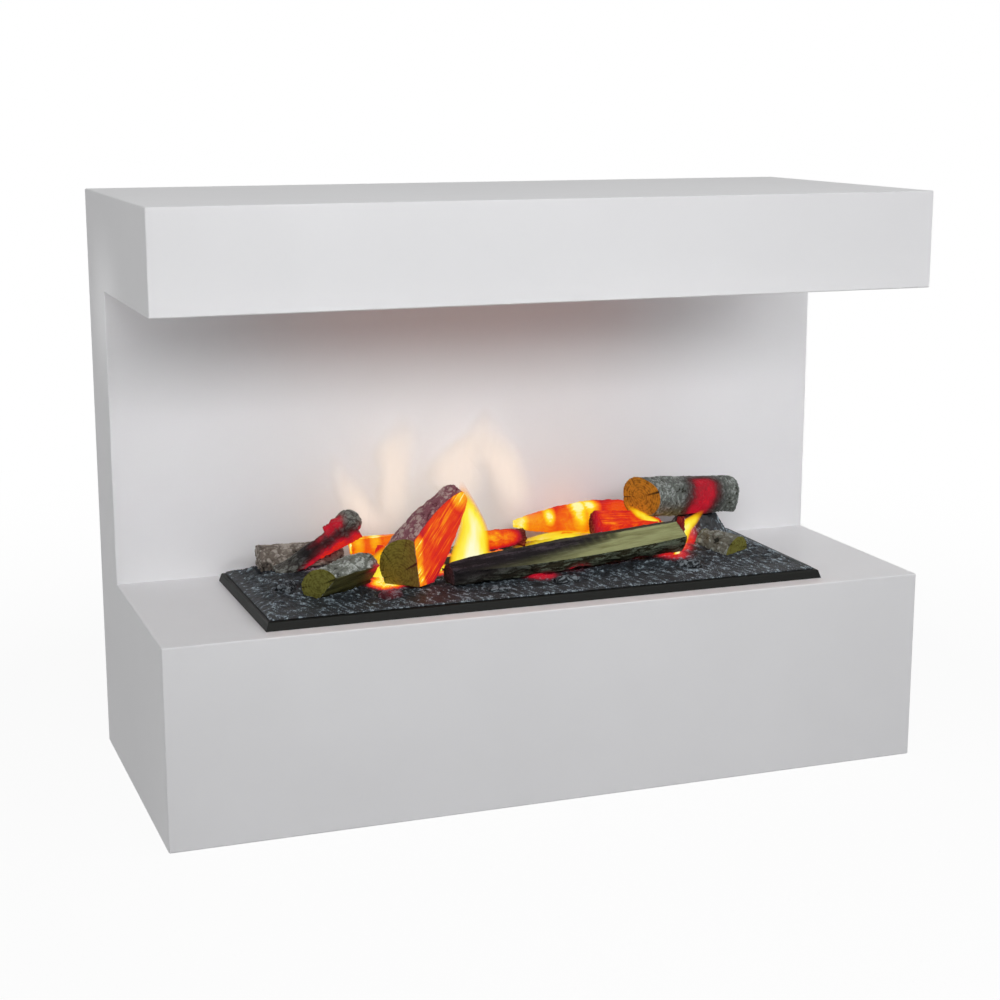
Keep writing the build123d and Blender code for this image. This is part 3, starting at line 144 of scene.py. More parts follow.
def seen_directly(tree):
    """1 for rays from the camera, from mirrors and through glass, and 0 for other rays."""
    path = add_node(tree, "LightPath").outputs
    mirror = add_node(
        tree, "Math", {0: path["Is Camera Ray"], 1: path["Is Glossy Ray"]}, operation="MAXIMUM"
    )
    return add_node(
        tree, "Math", {0: mirror.outputs[0], 1: path["Is Transmission Ray"]}, operation="MAXIMUM"
    ).outputs[0]


world = bpy.data.worlds.new("white_studio")
bpy.context.scene.world = world
world.use_nodes = True
sky = world.node_tree
seen = seen_directly(sky)
level = add_node(sky, "Mix", {"Factor": seen, "A": SKY_LIGHT, "B": 1.0}, data_type="FLOAT")
sky.links.new(level.outputs["Result"], sky.nodes["Background"].inputs["Strength"])
sky.nodes["Background"].inputs["Color"].default_value = linear("ffffff")

paper = bpy.data.materials.new("white_paper_floor")
paper.use_nodes = True
tree = paper.node_tree
tree.nodes.remove(tree.nodes["Principled BSDF"])
matte = add_node(tree, "BsdfDiffuse", {"Color": linear("b0b0b0")})
place = add_node(tree, "TexCoord").outputs["Object"]
shrunk = add_node(tree, "Mapping", {"Vector": place, "Scale": [1 / SHADOW_REACH] * 3})
near = add_node(
    tree, "TexGradient", {"Vector": shrunk.outputs[0]}, gradient_type="QUADRATIC_SPHERE"
).outputs["Fac"]
lit_share = add_node(
    tree, "MapRange", {"Value": near, "From Max": FULL_NEARNESS, "To Max": FLOOR_SHARE_LIT}
)
whiteness = add_node(
    tree, "MapRange", {"Value": near, "From Max": FULL_NEARNESS, "To Min": 1.0, "To Max": FLOOR_WHITE}
)
white = add_node(tree, "Emission", {"Color": linear("ffffff"), "Strength": whiteness.outputs["Result"]})
veiled = add_node(tree, "Math", {0: 1.0, 1: lit_share.outputs["Result"]}, operation="SUBTRACT")
veil = add_node(tree, "Math", {0: seen_directly(tree), 1: veiled.outputs[0]}, operation="MULTIPLY")
both = add_node(tree, "MixShader", {0: veil.outputs[0], 1: matte.outputs[0], 2: white.outputs[0]})
tree.links.new(both.outputs[0], tree.nodes["Material Output"].inputs["Surface"])

bm = bmesh.new()
bmesh.ops.create_grid(bm, x_segments=2, y_segments=2, size=FLOOR_SIZE / 2)
sheet = bpy.data.meshes.new("studio_floor")
bm.to_mesh(sheet)
bm.free()
floor_sheet = bpy.data.objects.new("studio_floor", sheet)
sheet.materials.append(paper)
bpy.context.scene.collection.objects.link(floor_sheet)
print("sky light", SKY_LIGHT, "over a floor of", FLOOR_SIZE, "m")

# %% [markdown]
# Three softboxes light the object from the front and from both sides. Narrow ones pick out the column
# and reach in under the ends of the canopy, and two weak warm ones stand for the glow of the fire on
# the lacquer around it.

# %% Lamps
def soft_lamp(name, place, aim, wide, tall, power, code="ffffff", spread=180):
    """A softbox turned from its place towards aim; it lights the scene but is not seen itself."""
    lamp = bpy.data.lights.new(name, "AREA")
    lamp.shape = "RECTANGLE"
    lamp.size = wide
    lamp.size_y = tall
    lamp.energy = power
    lamp.spread = radians(spread)
    lamp.color = linear(code)[:3]
    holder = bpy.data.objects.new(name, lamp)
    holder.location = place
    holder.rotation_euler = (Vector(aim) - Vector(place)).to_track_quat("-Z", "Y").to_euler()
    holder.visible_camera = False
    bpy.context.scene.collection.objects.link(holder)
    return holder


# name, place and aim in metres, width, height and watts
soft_lamp("front_softbox", (-0.10, -1.30, 0.95), (0, 0, 0.4), 1.6, 0.30, 9.2)
soft_lamp("right_softbox", (2.4, -1.2, 1.7), (0, 0, 0.35), 1.2, 1.2, 14.0)
soft_lamp("left_softbox", (-2.4, -1.0, 1.2), (0, 0, 0.35), 1.2, 1.2, 6.1)
soft_lamp("column_softbox", (-0.10, -1.30, 0.72), (0, 0.075, 0.33), 1.0, 0.08, 0.09, spread=14)
soft_lamp("right_strip", (1.25, -0.55, 0.40), (0.36, 0.075, 0.48), 0.06, 0.06, 0.018, spread=11)
soft_lamp("left_strip", (-1.25, -0.55, 0.40), (-0.385, 0.075, 0.485), 0.06, 0.06, 0.006, spread=9)
fire_light = soft_lamp(
    "fire_light", (-0.02, -0.02, 0.45), (-0.02, 0.075, 0.49), 0.40, 0.03, 0.012, code="ff5a1a"
)
hearth_light = soft_lamp(
    "hearth_light", (0, -0.165, 0.25), (0, -0.1651, 0.2), 0.60, 0.008, 0.004, code="ffb49a", spread=60
)
for glow in (fire_light, hearth_light):
    glow.visible_glossy = False
print("lit by six softboxes and two lights for the glow of the fire")

# %% [markdown]
# Most of what can be seen is one finish: sprayed satin lacquer on fibreboard. It is not quite white,
# it wavers a little where the spray overlapped, and its skin has the fine dimples called orange peel.
# Those dimples blur what the lacquer mirrors, so they are drawn as bump and not as colour.

# %% Satin lacquer
def satin_lacquer():
    """Sprayed lacquer: an even white with a broad soft gloss."""
    material, tree, shader, place = new_material("satin_white_lacquer")
    cloud = add_node(tree, "TexNoise", {"Vector": place, "Scale": per_metre(160), "Detail": 3.0})
    tint = add_node(
        tree, "ValToRGB", {"Fac": cloud.outputs["Fac"]}, ramp=[(0.3, "efeff1"), (0.7, "f3f3f5")]
    )
    tree.links.new(tint.outputs["Color"], shader.inputs["Base Color"])
    gloss = add_node(
        tree, "MapRange", {"Value": cloud.outputs["Fac"], "To Min": 0.34, "To Max": 0.46}
    )
    tree.links.new(gloss.outputs["Result"], shader.inputs["Roughness"])
    peel = add_node(tree, "TexNoise", {"Vector": place, "Scale": per_metre(2.4), "Detail": 2.0})
    bump = add_node(
        tree, "Bump", {"Height": peel.outputs["Fac"], "Strength": 0.10, "Distance": 0.2 * MM}
    )
    tree.links.new(bump.outputs["Normal"], shader.inputs["Normal"])
    shader.inputs["IOR"].default_value = 1.5
    return material


lacquer = satin_lacquer()
print("made", lacquer.name)

# %% [markdown]
# The pieces inside and behind are moulded, pressed or rolled, and most of them share one recipe: a
# colour that drifts between two tones, a grain of a known size in millimetres, and a gloss that drifts
# with the same grain. One function holds the recipe and each finish gives it real numbers.

# %% Plain mouldings, boards and sheet metal
def grained(name, dark, light, grain_mm, gloss, depth_mm, metal=0.0, index=1.5, stretch=(1, 1, 1)):
    """A finish with one grain: two tones, a range of roughness and a bump of that depth."""
    material, tree, shader, place = new_material(name)
    laid = add_node(tree, "Mapping", {"Vector": place, "Scale": stretch})
    grain = add_node(
        tree, "TexNoise", {"Vector": laid.outputs[0], "Scale": per_metre(grain_mm), "Detail": 5.0}
    )
    drift = add_node(tree, "TexNoise", {"Vector": place, "Scale": per_metre(22 * grain_mm), "Detail": 2.0})
    blend = add_node(
        tree,
        "Mix",
        {"Factor": 0.4, "A": grain.outputs["Fac"], "B": drift.outputs["Fac"]},
        data_type="FLOAT",
    )
    tint = add_node(
        tree, "ValToRGB", {"Fac": blend.outputs["Result"]}, ramp=[(0.32, dark), (0.68, light)]
    )
    tree.links.new(tint.outputs["Color"], shader.inputs["Base Color"])
    sheen = add_node(
        tree, "MapRange", {"Value": drift.outputs["Fac"], "To Min": gloss[0], "To Max": gloss[1]}
    )
    tree.links.new(sheen.outputs["Result"], shader.inputs["Roughness"])
    bump = add_node(
        tree, "Bump", {"Height": grain.outputs["Fac"], "Strength": 0.5, "Distance": depth_mm * MM}
    )
    tree.links.new(bump.outputs["Normal"], shader.inputs["Normal"])
    shader.inputs["Metallic"].default_value = metal
    if not metal:
        shader.inputs["IOR"].default_value = index
    return material


# raw fibreboard: a felt of tan fibres with no gloss
fibreboard = grained("raw_fibreboard", "8f7350", "b3946c", 1.2, (0.75, 0.9), 0.15)
# pressed hardboard: darker, long fibres lying flat, smooth and faintly waxy
hardboard = grained("pressed_hardboard", "5f4027", "84603f", 2.0, (0.5, 0.7), 0.10, stretch=(0.4, 1, 0.4))
# powder coat: black baked paint with a fine pebble
powder_coat = grained("black_powder_coat", "131314", "1f1f21", 0.9, (0.45, 0.6), 0.08)
# vulcanised rubber: deep grey black with almost no gloss
rubber = grained("black_rubber", "121212", "1d1d1d", 0.7, (0.7, 0.85), 0.05, index=1.52)
# spark-eroded mould texture on black and on grey housings
black_plastic = grained("black_moulded_plastic", "151617", "222325", 0.8, (0.38, 0.5), 0.06, index=1.53)
grey_plastic = grained("grey_moulded_plastic", "6b6e70", "85888a", 0.8, (0.4, 0.52), 0.06, index=1.53)
# hard-drawn wire: bright, with draw marks along it
spring_steel = grained("drawn_spring_steel", "8d8f92", "b4b6b8", 0.5, (0.22, 0.34), 0.02, metal=1.0)
# fired disc: cream ceramic with a silvered face
piezo = grained("silvered_ceramic", "b9b6ab", "d6d3c8", 0.6, (0.3, 0.45), 0.02, index=1.6)
# turned contact pins
brass = grained("turned_brass", "a8853c", "c9a552", 0.5, (0.2, 0.32), 0.02, metal=1.0)
# flame-retardant resin: black with a breath of green, rubbed to a satin sheen
frame_resin = grained("dark_frame_resin", "070806", "0e100c", 1.4, (0.42, 0.55), 0.10, index=1.26)
print("made ten grained finishes")

# %% [markdown]
# A few finishes have a look of their own: zinc shows its crystals, a circuit board its copper tracks,
# the tank and lamp glasses are clear, and the sheet under the embers is lit amber plastic.

# %% Zinc, circuit board, clear and lit plastics
def zinc_plate():
    """Zinc on steel: a mosaic of dull crystals that each catch the light differently."""
    material, tree, shader, place = new_material("zinc_plated_steel")
    mosaic = add_node(tree, "TexVoronoi", {"Vector": place, "Scale": per_metre(7)})
    tint = add_node(
        tree, "ValToRGB", {"Fac": mosaic.outputs["Color"]}, ramp=[(0.2, "8f9598"), (0.8, "b7bcbf")]
    )
    tree.links.new(tint.outputs["Color"], shader.inputs["Base Color"])
    gloss = add_node(tree, "MapRange", {"Value": mosaic.outputs["Color"], "To Min": 0.28, "To Max": 0.46})
    tree.links.new(gloss.outputs["Result"], shader.inputs["Roughness"])
    shader.inputs["Metallic"].default_value = 1.0
    return material


def circuit_board():
    """Green solder mask over copper tracks about two millimetres wide."""
    material, tree, shader, place = new_material("green_circuit_board")
    tracks = add_node(
        tree, "TexBrick", {"Vector": place, "Scale": per_metre(9), "Mortar Size": 0.05}, offset_frequency=3
    )
    tint = add_node(
        tree, "ValToRGB", {"Fac": tracks.outputs["Fac"]}, ramp=[(0.2, "14402a"), (0.8, "2b6b3f")]
    )
    tree.links.new(tint.outputs["Color"], shader.inputs["Base Color"])
    bump = add_node(tree, "Bump", {"Height": tracks.outputs["Fac"], "Strength": 0.4, "Distance": 0.1 * MM})
    tree.links.new(bump.outputs["Normal"], shader.inputs["Normal"])
    shader.inputs["Roughness"].default_value = 0.35
    return material


def clear_moulding(name, tint, index, rough):
    """A clear moulding: light passes through it, and faint flow lines ripple its skin."""
    material, tree, shader, place = new_material(name)
    flow = add_node(tree, "TexNoise", {"Vector": place, "Scale": per_metre(14), "Detail": 2.0})
    bump = add_node(tree, "Bump", {"Height": flow.outputs["Fac"], "Strength": 0.15, "Distance": 0.4 * MM})
    tree.links.new(bump.outputs["Normal"], shader.inputs["Normal"])
    shader.inputs["Base Color"].default_value = linear(tint)
    shader.inputs["Transmission Weight"].default_value = 0.92
    shader.inputs["Roughness"].default_value = rough
    shader.inputs["IOR"].default_value = index
    return material


# colours of the painted glow of lamp light through resin, from none to the brightest
GLOW_COLOURS = [
    (0.00, "000000"),
    (0.16, "4a0610"),
    (0.34, "b41027"),
    (0.48, "dd2a10"),
    (0.62, "f0620a"),
    (0.80, "fba90f"),
    (0.92, "ffdb1e"),
    (1.00, "fff6a8"),
]


def lit_amber():
    """Amber plastic with a painted glow of the lamps below it, brighter and dimmer in streaks."""
    material, tree, shader, place = new_material("lit_amber_plastic")
    streak = add_node(tree, "TexNoise", {"Vector": place, "Scale": per_metre(26), "Detail": 3.0})
    glowing = add_node(tree, "MapRange", {"Value": streak.outputs["Fac"], "To Min": 0.66, "To Max": 0.98})
    tint = add_node(tree, "ValToRGB", {"Fac": glowing.outputs["Result"]}, ramp=GLOW_COLOURS)
    tree.links.new(tint.outputs["Color"], shader.inputs["Emission Color"])
    shader.inputs["Emission Strength"].default_value = 1.6
    shader.inputs["Base Color"].default_value = linear("8a4a10")
    shader.inputs["Roughness"].default_value = 0.4
    return material


FINISHES = {
    "white_lacquer": lacquer,
    "fibreboard": fibreboard,
    "back_hardboard": hardboard,
    "zinc_steel": zinc_plate(),
    "black_steel": powder_coat,
    "black_rubber": rubber,
    "black_plastic": black_plastic,
    "grey_plastic": grey_plastic,
    "clear_plastic": clear_moulding("clear_tank_plastic", "dfe9ee", 1.58, 0.12),
    "frame_resin": frame_resin,
    "amber_diffuser": lit_amber(),
    "spring_steel": spring_steel,
    "piezo_ceramic": piezo,
    "lamp_glass": clear_moulding("lamp_glass", "f4efe2", 1.5, 0.05),
    "board_laminate": circuit_board(),
    "inlet_brass": brass,
}
dressed = 0
for subpart in frame["record"]["subparts"]:
    finish = FINISHES.get(subpart["material_slot"])
    if finish:
        nodes[subpart["node"]].material_slots[0].material = finish
        dressed += 1
print("dressed", dressed, "solids; the embers and logs are modelled below")

# %% [markdown]
# The logs and embers are cast in resin from moulds of real wood, then dry-brushed with paint. The
# solids give their true size and place but are smooth. A copy of such a skin is joined, covered again
# with small even faces by a voxel remesh, and then every point is pushed along its normal by a pattern
# of bark, saw rings or fibres. The same pass writes down what it did as attributes, so that the paint
# can follow the relief as a dry brush does.

# %% Skins with even faces
LOG_CELL = 0.85 * MM


def smooth_step(low, high, value):
    """0 below low, 1 above high and a soft slope between them."""
    share = min(max((value - low) / (high - low), 0.0), 1.0)
    return share * share * (3 - 2 * share)


def cad_skin(node):
    """A copy of a solid's skin with its loose triangles joined."""
    bm = bmesh.new()
    bm.from_mesh(nodes[node].data)
    bmesh.ops.remove_doubles(bm, verts=bm.verts, dist=0.01 * MM)
    return bm


def even_skin(name, bm, cell):
    """A new piece with the form of bm, covered by even faces of about the size of cell."""
    rough = bpy.data.meshes.new(name + "_rough")
    bm.to_mesh(rough)
    bm.free()
    piece = bpy.data.objects.new(name, rough)
    bpy.context.scene.collection.objects.link(piece)
    evener = piece.modifiers.new("even_faces", "REMESH")
    evener.mode = "VOXEL"
    evener.voxel_size = cell
    evener.use_smooth_shade = True
    graph = bpy.context.evaluated_depsgraph_get()
    piece.data = bpy.data.meshes.new_from_object(piece.evaluated_get(graph))
    piece.data.name = name
    piece.modifiers.clear()
    return piece


def spot_level(point, spots):
    """The strongest of the spots at that point; a spot is a place, a reach and a level."""
    strongest = 0.0
    for place, reach, level in spots:
        strongest = max(strongest, level * (1 - smooth_step(0.25, 1.0, (point - place).length / reach)))
    return strongest


print("logs are covered with faces of", LOG_CELL / MM, "mm")

# %% [markdown]
# Bark is a mosaic of plates that cracked apart as the tree grew, with thin layers flaking off them.
# Sawn ends show year rings and drying cracks, and split faces show fibres that run along the wood.
# Each is a height between 0 and 1, worked out in millimetres along, across and up from the log.

# %% Heights of bark, sawn ends and split faces
RING_WIDTH = 2.6
# without a seed the drift of the plates starts from the clock, and every run gives other bark
BARK_SEED = 7
noise.seed_set(BARK_SEED)
COATS = {
    # width of the plates and their stretch along the log, depth of the cracks, share of flaking layers
    "flaky": dict(plate=9.0, stretch=0.70, depth=4.2, flake=0.40),
    "ridged": dict(plate=7.0, stretch=0.22, depth=3.8, flake=0.25),
    "smooth": dict(plate=9.0, stretch=0.55, depth=2.4, flake=0.30),
    "charred": dict(plate=7.0, stretch=0.60, depth=2.8, flake=0.25),
    "checked": dict(plate=7.0, stretch=1.90, depth=1.5, flake=0.35),
}


def bark_height(place, coat):
    """How proud the bark stands: 0 in a crack, 1 on a plate."""
    laid = Vector((place.x * coat["stretch"], place.y, place.z)) / coat["plate"]
    near = noise.voronoi(laid + 0.6 * noise.noise_vector(1.3 * laid))[0]
    crack = smooth_step(0.0, 0.22, near[1] - near[0])
    gnarl = 1 - min(noise.turbulence(0.9 * laid, 4, True, amplitude_scale=0.65, frequency_scale=2.2), 1.0)
    layers = 4 * (0.5 + 0.5 * noise.fractal(0.8 * laid, 0.7, 2.1, 3))
    flake = (floor(layers) + smooth_step(0.86, 1.0, layers % 1)) / 4
    share = coat["flake"]
    height = (0.55 - share / 2) * crack + (0.65 - share / 2) * gnarl + share * (flake - 0.2)
    return min(max(height, 0.0), 1.0)


def sawn_height(place):
    """Year rings with drying cracks across them."""
    spread = sqrt(place.y ** 2 + place.z ** 2)
    ring = 0.5 + 0.5 * sin(2 * pi * (spread + 1.5 * noise.noise(place / 11)) / RING_WIDTH)
    turn = atan2(place.z, place.y)
    check = abs(noise.noise(Vector((2.2 * cos(turn), 2.2 * sin(turn), 7.3))))
    rough = 0.3 * noise.noise(place / 3)
    return (0.2 * ring + 0.8 + rough) * smooth_step(0.0, 0.03, check + 0.1 * exp(-spread / 4))


def fibre_height(place):
    """Splinters that run along the log."""
    coarse = noise.noise(Vector((0.02 * place.x, 0.16 * place.y, 0.16 * place.z)))
    fine = abs(noise.noise(Vector((0.05 * place.x, 0.55 * place.y, 0.55 * place.z))))
    return min(max(0.45 + 0.5 * coarse + 0.6 * fine, 0.0), 1.0)


print("coats of bark:", ", ".join(COATS))

# %% [markdown]
# The paint reads those attributes. Cracks stay dark, plates take the middle tone and their proudest
# edges catch pale ash. Sawn and split wood have their own tones, charring blackens all of it, and where
# the lamps below shine through the cast resin it glows from deep red to yellow. Paint that light shines
# through looks dark by itself, so the colour underneath fades as the glow grows.

# %% Dry-brushed resin that glows
# how much more painted glow runs along thin split fibres, and the glow at which the paint under it is fully
# dimmed
FIBRE_GLOW = 0.42
SHINE_THROUGH = 0.36


def log_paint(name, middle, turn, bark, sawn, split, waver):
    """Painted cast resin; bark is crack, plate and ash tones, sawn and split are dark and light ones.

    waver is how far the glow drifts from spot to spot; on split faces thin fibres glow brighter.
    """
    material, tree, shader, place = new_material(name)
    read = {
        key: add_node(tree, "Attribute", attribute_name=key).outputs["Fac"]
        for key in ("relief", "cut", "split", "char", "painted_glow")
    }
    local = add_node(
        tree, "Mapping", {"Vector": place, "Location": middle, "Rotation": turn}, vector_type="TEXTURE"
    ).outputs[0]
    mottle = add_node(
        tree, "TexNoise", {"Vector": place, "Scale": per_metre(16), "Detail": 6.0, "Roughness": 0.65}
    ).outputs["Fac"]
    speckle = add_node(
        tree, "TexNoise", {"Vector": place, "Scale": per_metre(2.4), "Detail": 5.0, "Roughness": 0.8}
    ).outputs["Fac"]
    brushed = add_node(tree, "Mix", {"Factor": 0.48, "A": read["relief"], "B": speckle}, data_type="FLOAT")
    worn = add_node(
        tree, "Mix", {"Factor": 0.3, "A": brushed.outputs["Result"], "B": mottle}, data_type="FLOAT"
    )
    bark_tone = add_node(
        tree,
        "ValToRGB",
        {"Fac": worn.outputs["Result"]},
        ramp=[(0.34, bark[0]), (0.44, bark[1]), (0.52, bark[1]), (0.61, bark[2])],
    )
    sawn_share = add_node(
        tree, "Mix", {"Factor": 0.5, "A": read["relief"], "B": speckle}, data_type="FLOAT"
    )
    sawn_tone = add_node(
        tree,
        "ValToRGB",
        {"Fac": sawn_share.outputs["Result"]},
        ramp=[(0.30, "2b240a"), (0.56, sawn[0]), (0.76, sawn[1])],
    )
    fibres = add_node(tree, "Mapping", {"Vector": local, "Scale": (0.07, 1, 1)})
    grain = add_node(
        tree, "TexNoise", {"Vector": fibres.outputs[0], "Scale": per_metre(2.2), "Detail": 4.0}
    )
    split_share = add_node(
        tree, "Mix", {"Factor": 0.45, "A": read["relief"], "B": grain.outputs["Fac"]}, data_type="FLOAT"
    )
    split_tone = add_node(
        tree, "ValToRGB", {"Fac": split_share.outputs["Result"]}, ramp=[(0.3, split[0]), (0.68, split[1])]
    )
    wood = add_node(
        tree,
        "Mix",
        {"Factor": read["cut"], "A": bark_tone.outputs["Color"], "B": sawn_tone.outputs["Color"]},
        data_type="RGBA",
    )
    timber = add_node(
        tree,
        "Mix",
        {"Factor": read["split"], "A": wood.outputs["Result"], "B": split_tone.outputs["Color"]},
        data_type="RGBA",
    )
    soot = add_node(
        tree,
        "ValToRGB",
        {"Fac": worn.outputs["Result"]},
        ramp=[(0.3, "0a0809"), (0.57, "1e191d"), (0.80, "5a5058")],
    )
    charred = add_node(
        tree,
        "Mix",
        {"Factor": read["char"], "A": timber.outputs["Result"], "B": soot.outputs["Color"]},
        data_type="RGBA",
    )
    # painted glow of the lamps through the resin: it drifts with the mottle, and thin fibres on split faces
    # glow brighter
    flicker = add_node(
        tree,
        "MapRange",
        {"Value": mottle, "From Min": 0.3, "From Max": 0.7, "To Min": 1 - waver, "To Max": 1 + waver},
    )
    lines = add_node(
        tree,
        "MapRange",
        {"Value": grain.outputs["Fac"], "From Min": 0.52, "From Max": 0.68, "To Max": FIBRE_GLOW},
    )
    fibre_glow = add_node(
        tree,
        "Math",
        {0: lines.outputs["Result"], 1: read["split"], 2: flicker.outputs["Result"]},
        operation="MULTIPLY_ADD",
    )
    painted_glow = add_node(
        tree, "Math", {0: read["painted_glow"], 1: fibre_glow.outputs[0]}, operation="MULTIPLY"
    ).outputs[0]
    through = add_node(tree, "MapRange", {"Value": painted_glow, "From Max": SHINE_THROUGH})
    dimmed = add_node(
        tree,
        "Mix",
        {"Factor": through.outputs["Result"], "A": charred.outputs["Result"], "B": linear("120806")},
        data_type="RGBA",
    )
    tree.links.new(dimmed.outputs["Result"], shader.inputs["Base Color"])
    glow = add_node(tree, "ValToRGB", {"Fac": painted_glow}, ramp=GLOW_COLOURS)
    tree.links.new(glow.outputs["Color"], shader.inputs["Emission Color"])
    shader.inputs["Emission Strength"].default_value = 1.0
    shader.inputs["Specular IOR Level"].default_value = 0.15
    gloss = add_node(tree, "MapRange", {"Value": mottle, "To Min": 0.55, "To Max": 0.8})
    tree.links.new(gloss.outputs["Result"], shader.inputs["Roughness"])
    bump = add_node(tree, "Bump", {"Height": speckle, "Strength": 0.9, "Distance": 1.3 * MM})
    tree.links.new(bump.outputs["Normal"], shader.inputs["Normal"])
    return material


print("colours of heat:", len(GLOW_COLOURS), "steps")

# %% [markdown]
# One function casts a log. It measures the solid along the way the log lies, adds knots as small balls
# before the remesh melts them in, and then carves. Spots of char and of painted glow are given as a share
# along the log from -1 to 1, an angle round it (0 to the wall, 90 up, 180 to the room) and a reach.

# %% A function that casts a log
BARK_GREY = ("1d1b1a", "67645d", "98958f")
WOOD_OLIVE = ("4b4519", "7d7436")
LOG_BODY = "log_bed"
BURNT = dict(slot="burnt_resin", ends=(0, 0))
# how squarely skin has to face along the log to count as sawn, or out of a split to count as cleft
SAWN_TURN = (0.62, 0.85)
SPLIT_TURN = (0.84, 0.95)
# depths in mm of saw rings, fibres and the swells of the bark, how proud a swell stands, and its size
SAWN_DEPTH = 0.6
SPLIT_DEPTH = 1.6
SWELL = 2.0
SWELL_PROUD = 0.4
SWELL_SIZE = 19


def cast_log(node, heading, pitch, coat, bark=BARK_GREY, sawn=WOOD_OLIVE, split=WOOD_OLIVE, ends=(1, 1),
             splits=(), knots=(), burnt=(), glow_spots=(), bark_glow_share=1.0, vein=0.3, waver=0.2, slot="bark_resin"):
    """Replaces a log's solid by a carved and painted one.

    ends says how far its first and last ends are sawn; splits are angles with their share of char;
    knots are shares along, angles, shares of the radius and sizes; bark_glow_share is the share of the
    painted glow that bark and sawn ends let through; vein is how much brighter cracks glow than plates,
    and waver is how far the glow drifts. A spot of painted glow may end with its share of the radius.
    """
    heading, pitch = radians(heading), radians(pitch)
    along = Vector((cos(heading) * cos(pitch), sin(heading) * cos(pitch), sin(pitch)))
    across = Vector((-sin(heading), cos(heading), 0))
    up = along.cross(across)
    turn = Matrix((along, across, up)).transposed()
    bm = cad_skin(node)
    spans = []
    for way in (along, across, up):
        reach = [way.dot(vert.co) for vert in bm.verts]
        spans.append((min(reach), max(reach)))
    middle = turn @ Vector([(low + high) / 2 for low, high in spans])
    half_length = (spans[0][1] - spans[0][0]) / 2
    radius = max(high - low for low, high in spans[1:]) / 2

    def on_log(share, angle, out=1.0):
        round_it = across * cos(radians(angle)) + up * sin(radians(angle))
        return middle + along * share * half_length + round_it * radius * out

    for share, angle, out, size in knots:
        bmesh.ops.create_icosphere(
            bm, subdivisions=3, radius=size * MM, matrix=Matrix.Translation(on_log(share, angle, out))
        )
    chars = [(on_log(share, angle), reach * MM, level) for share, angle, reach, level in burnt]
    glow_places = [(on_log(share, angle, *out), reach * MM, level) for share, angle, reach, level, *out in glow_spots]
    outs = [(across * cos(radians(angle)) + up * sin(radians(angle)), sooty) for angle, sooty in splits]

    piece = even_skin(node + "_cast", bm, LOG_CELL)
    bm = bmesh.new()
    bm.from_mesh(piece.data)
    layer = {key: bm.verts.layers.float.new(key) for key in ("relief", "cut", "split", "char", "painted_glow")}
    normals = [vert.normal.copy() for vert in bm.verts]
    home = turn.transposed()
    for vert, normal in zip(bm.verts, normals):
        place = home @ (vert.co - middle) / MM
        facing = normal.dot(along)
        cut = smooth_step(*SAWN_TURN, abs(facing)) * ends[0 if facing < 0 else 1]
        faces = [(smooth_step(*SPLIT_TURN, normal.dot(out)), sooty) for out, sooty in outs]
        cleft = max([share for share, _ in faces], default=0.0)
        char = max([share * sooty for share, sooty in faces], default=0.0)
        heights = (bark_height(place, COATS[coat]), sawn_height(place), fibre_height(place))
        skin = (1 - max(cut, cleft), cut, cleft)
        relief = sum(height * share for height, share in zip(heights, skin)) / max(sum(skin), 0.01)
        swell = SWELL * noise.noise(place / SWELL_SIZE) * skin[0]
        depth = COATS[coat]["depth"] * skin[0] + SAWN_DEPTH * cut + SPLIT_DEPTH * cleft
        # painted glow of the lamps through the resin: spots of it, dimmed on bark and sawn ends and
        # brighter in cracks
        painted_glow = spot_level(vert.co, glow_places)
        vert[layer["relief"]] = relief
        vert[layer["cut"]] = cut
        vert[layer["split"]] = cleft
        vert[layer["char"]] = max(char, spot_level(vert.co, chars))
        vert[layer["painted_glow"]] = painted_glow * (1 - (1 - bark_glow_share) * (1 - cleft)) * (1 + vein * (0.4 - relief))
        vert.co -= normal * (depth * (1 - relief) + max(swell, -SWELL_PROUD)) * MM
    bm.to_mesh(piece.data)
    bm.free()
    paint = log_paint(node + "_paint", middle, turn.to_euler(), bark, sawn, split, waver)
    piece.data.materials.append(paint)
    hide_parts(node)
    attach(piece, LOG_BODY)
    print("cast", node, len(piece.data.polygons), "faces")


print("logs ride", LOG_BODY)

# %% [markdown]
# The left group: a pale stub of a log at the back, a charred branch that leans on it with embers under
# its head, and a sawn log at the front whose end looks at the room.

# %% Logs on the left
cast_log(
    "log_left_rear", -3, -2, "flaky", bark=("1c1816", "7d736a", "bab1a7"), ends=(0, 0),
    glow_spots=((0.60, 140, 22, 0.24),),
)
cast_log(
    "ember_branch", -7, 30, "charred", bark=("171213", "575450", "8d8f88"),
    knots=((0.86, 90, 0.2, 15.0), (0.62, 110, 0.7, 7.0)),
    burnt=((-0.1, 150, 34, 0.95), (0.35, 170, 30, 0.9), (0.75, 190, 22, 0.6)),
    glow_spots=((0.85, 262, 26, 0.46), (0.50, 262, 28, 0.47), (0.10, 262, 26, 0.45), (-0.25, 265, 20, 0.38),
          (0.66, 120, 15, 0.32), (0.42, 120, 17, 0.33), (0.18, 122, 15, 0.31), (-0.05, 125, 12, 0.27)),
    **BURNT,
)
cast_log(
    "log_left_front", 25, 6, "flaky", bark=("1f1e1b", "7c7f77", "c8cdc8"), sawn=("57541e", "807d3c"),
    ends=(1, 0), split=("2c2b16", "57552f"), splits=((222, 0.0),), glow_spots=((1.0, 190, 22, 0.32),),
)

# %% [markdown]
# The split log leans across the middle with its cleft face to the flames. Resin is thinnest there, so
# the face glows orange with thin bright fibres, and the sapwood next to the sawn end glows yellow. The
# bark is thicker and stays dull.

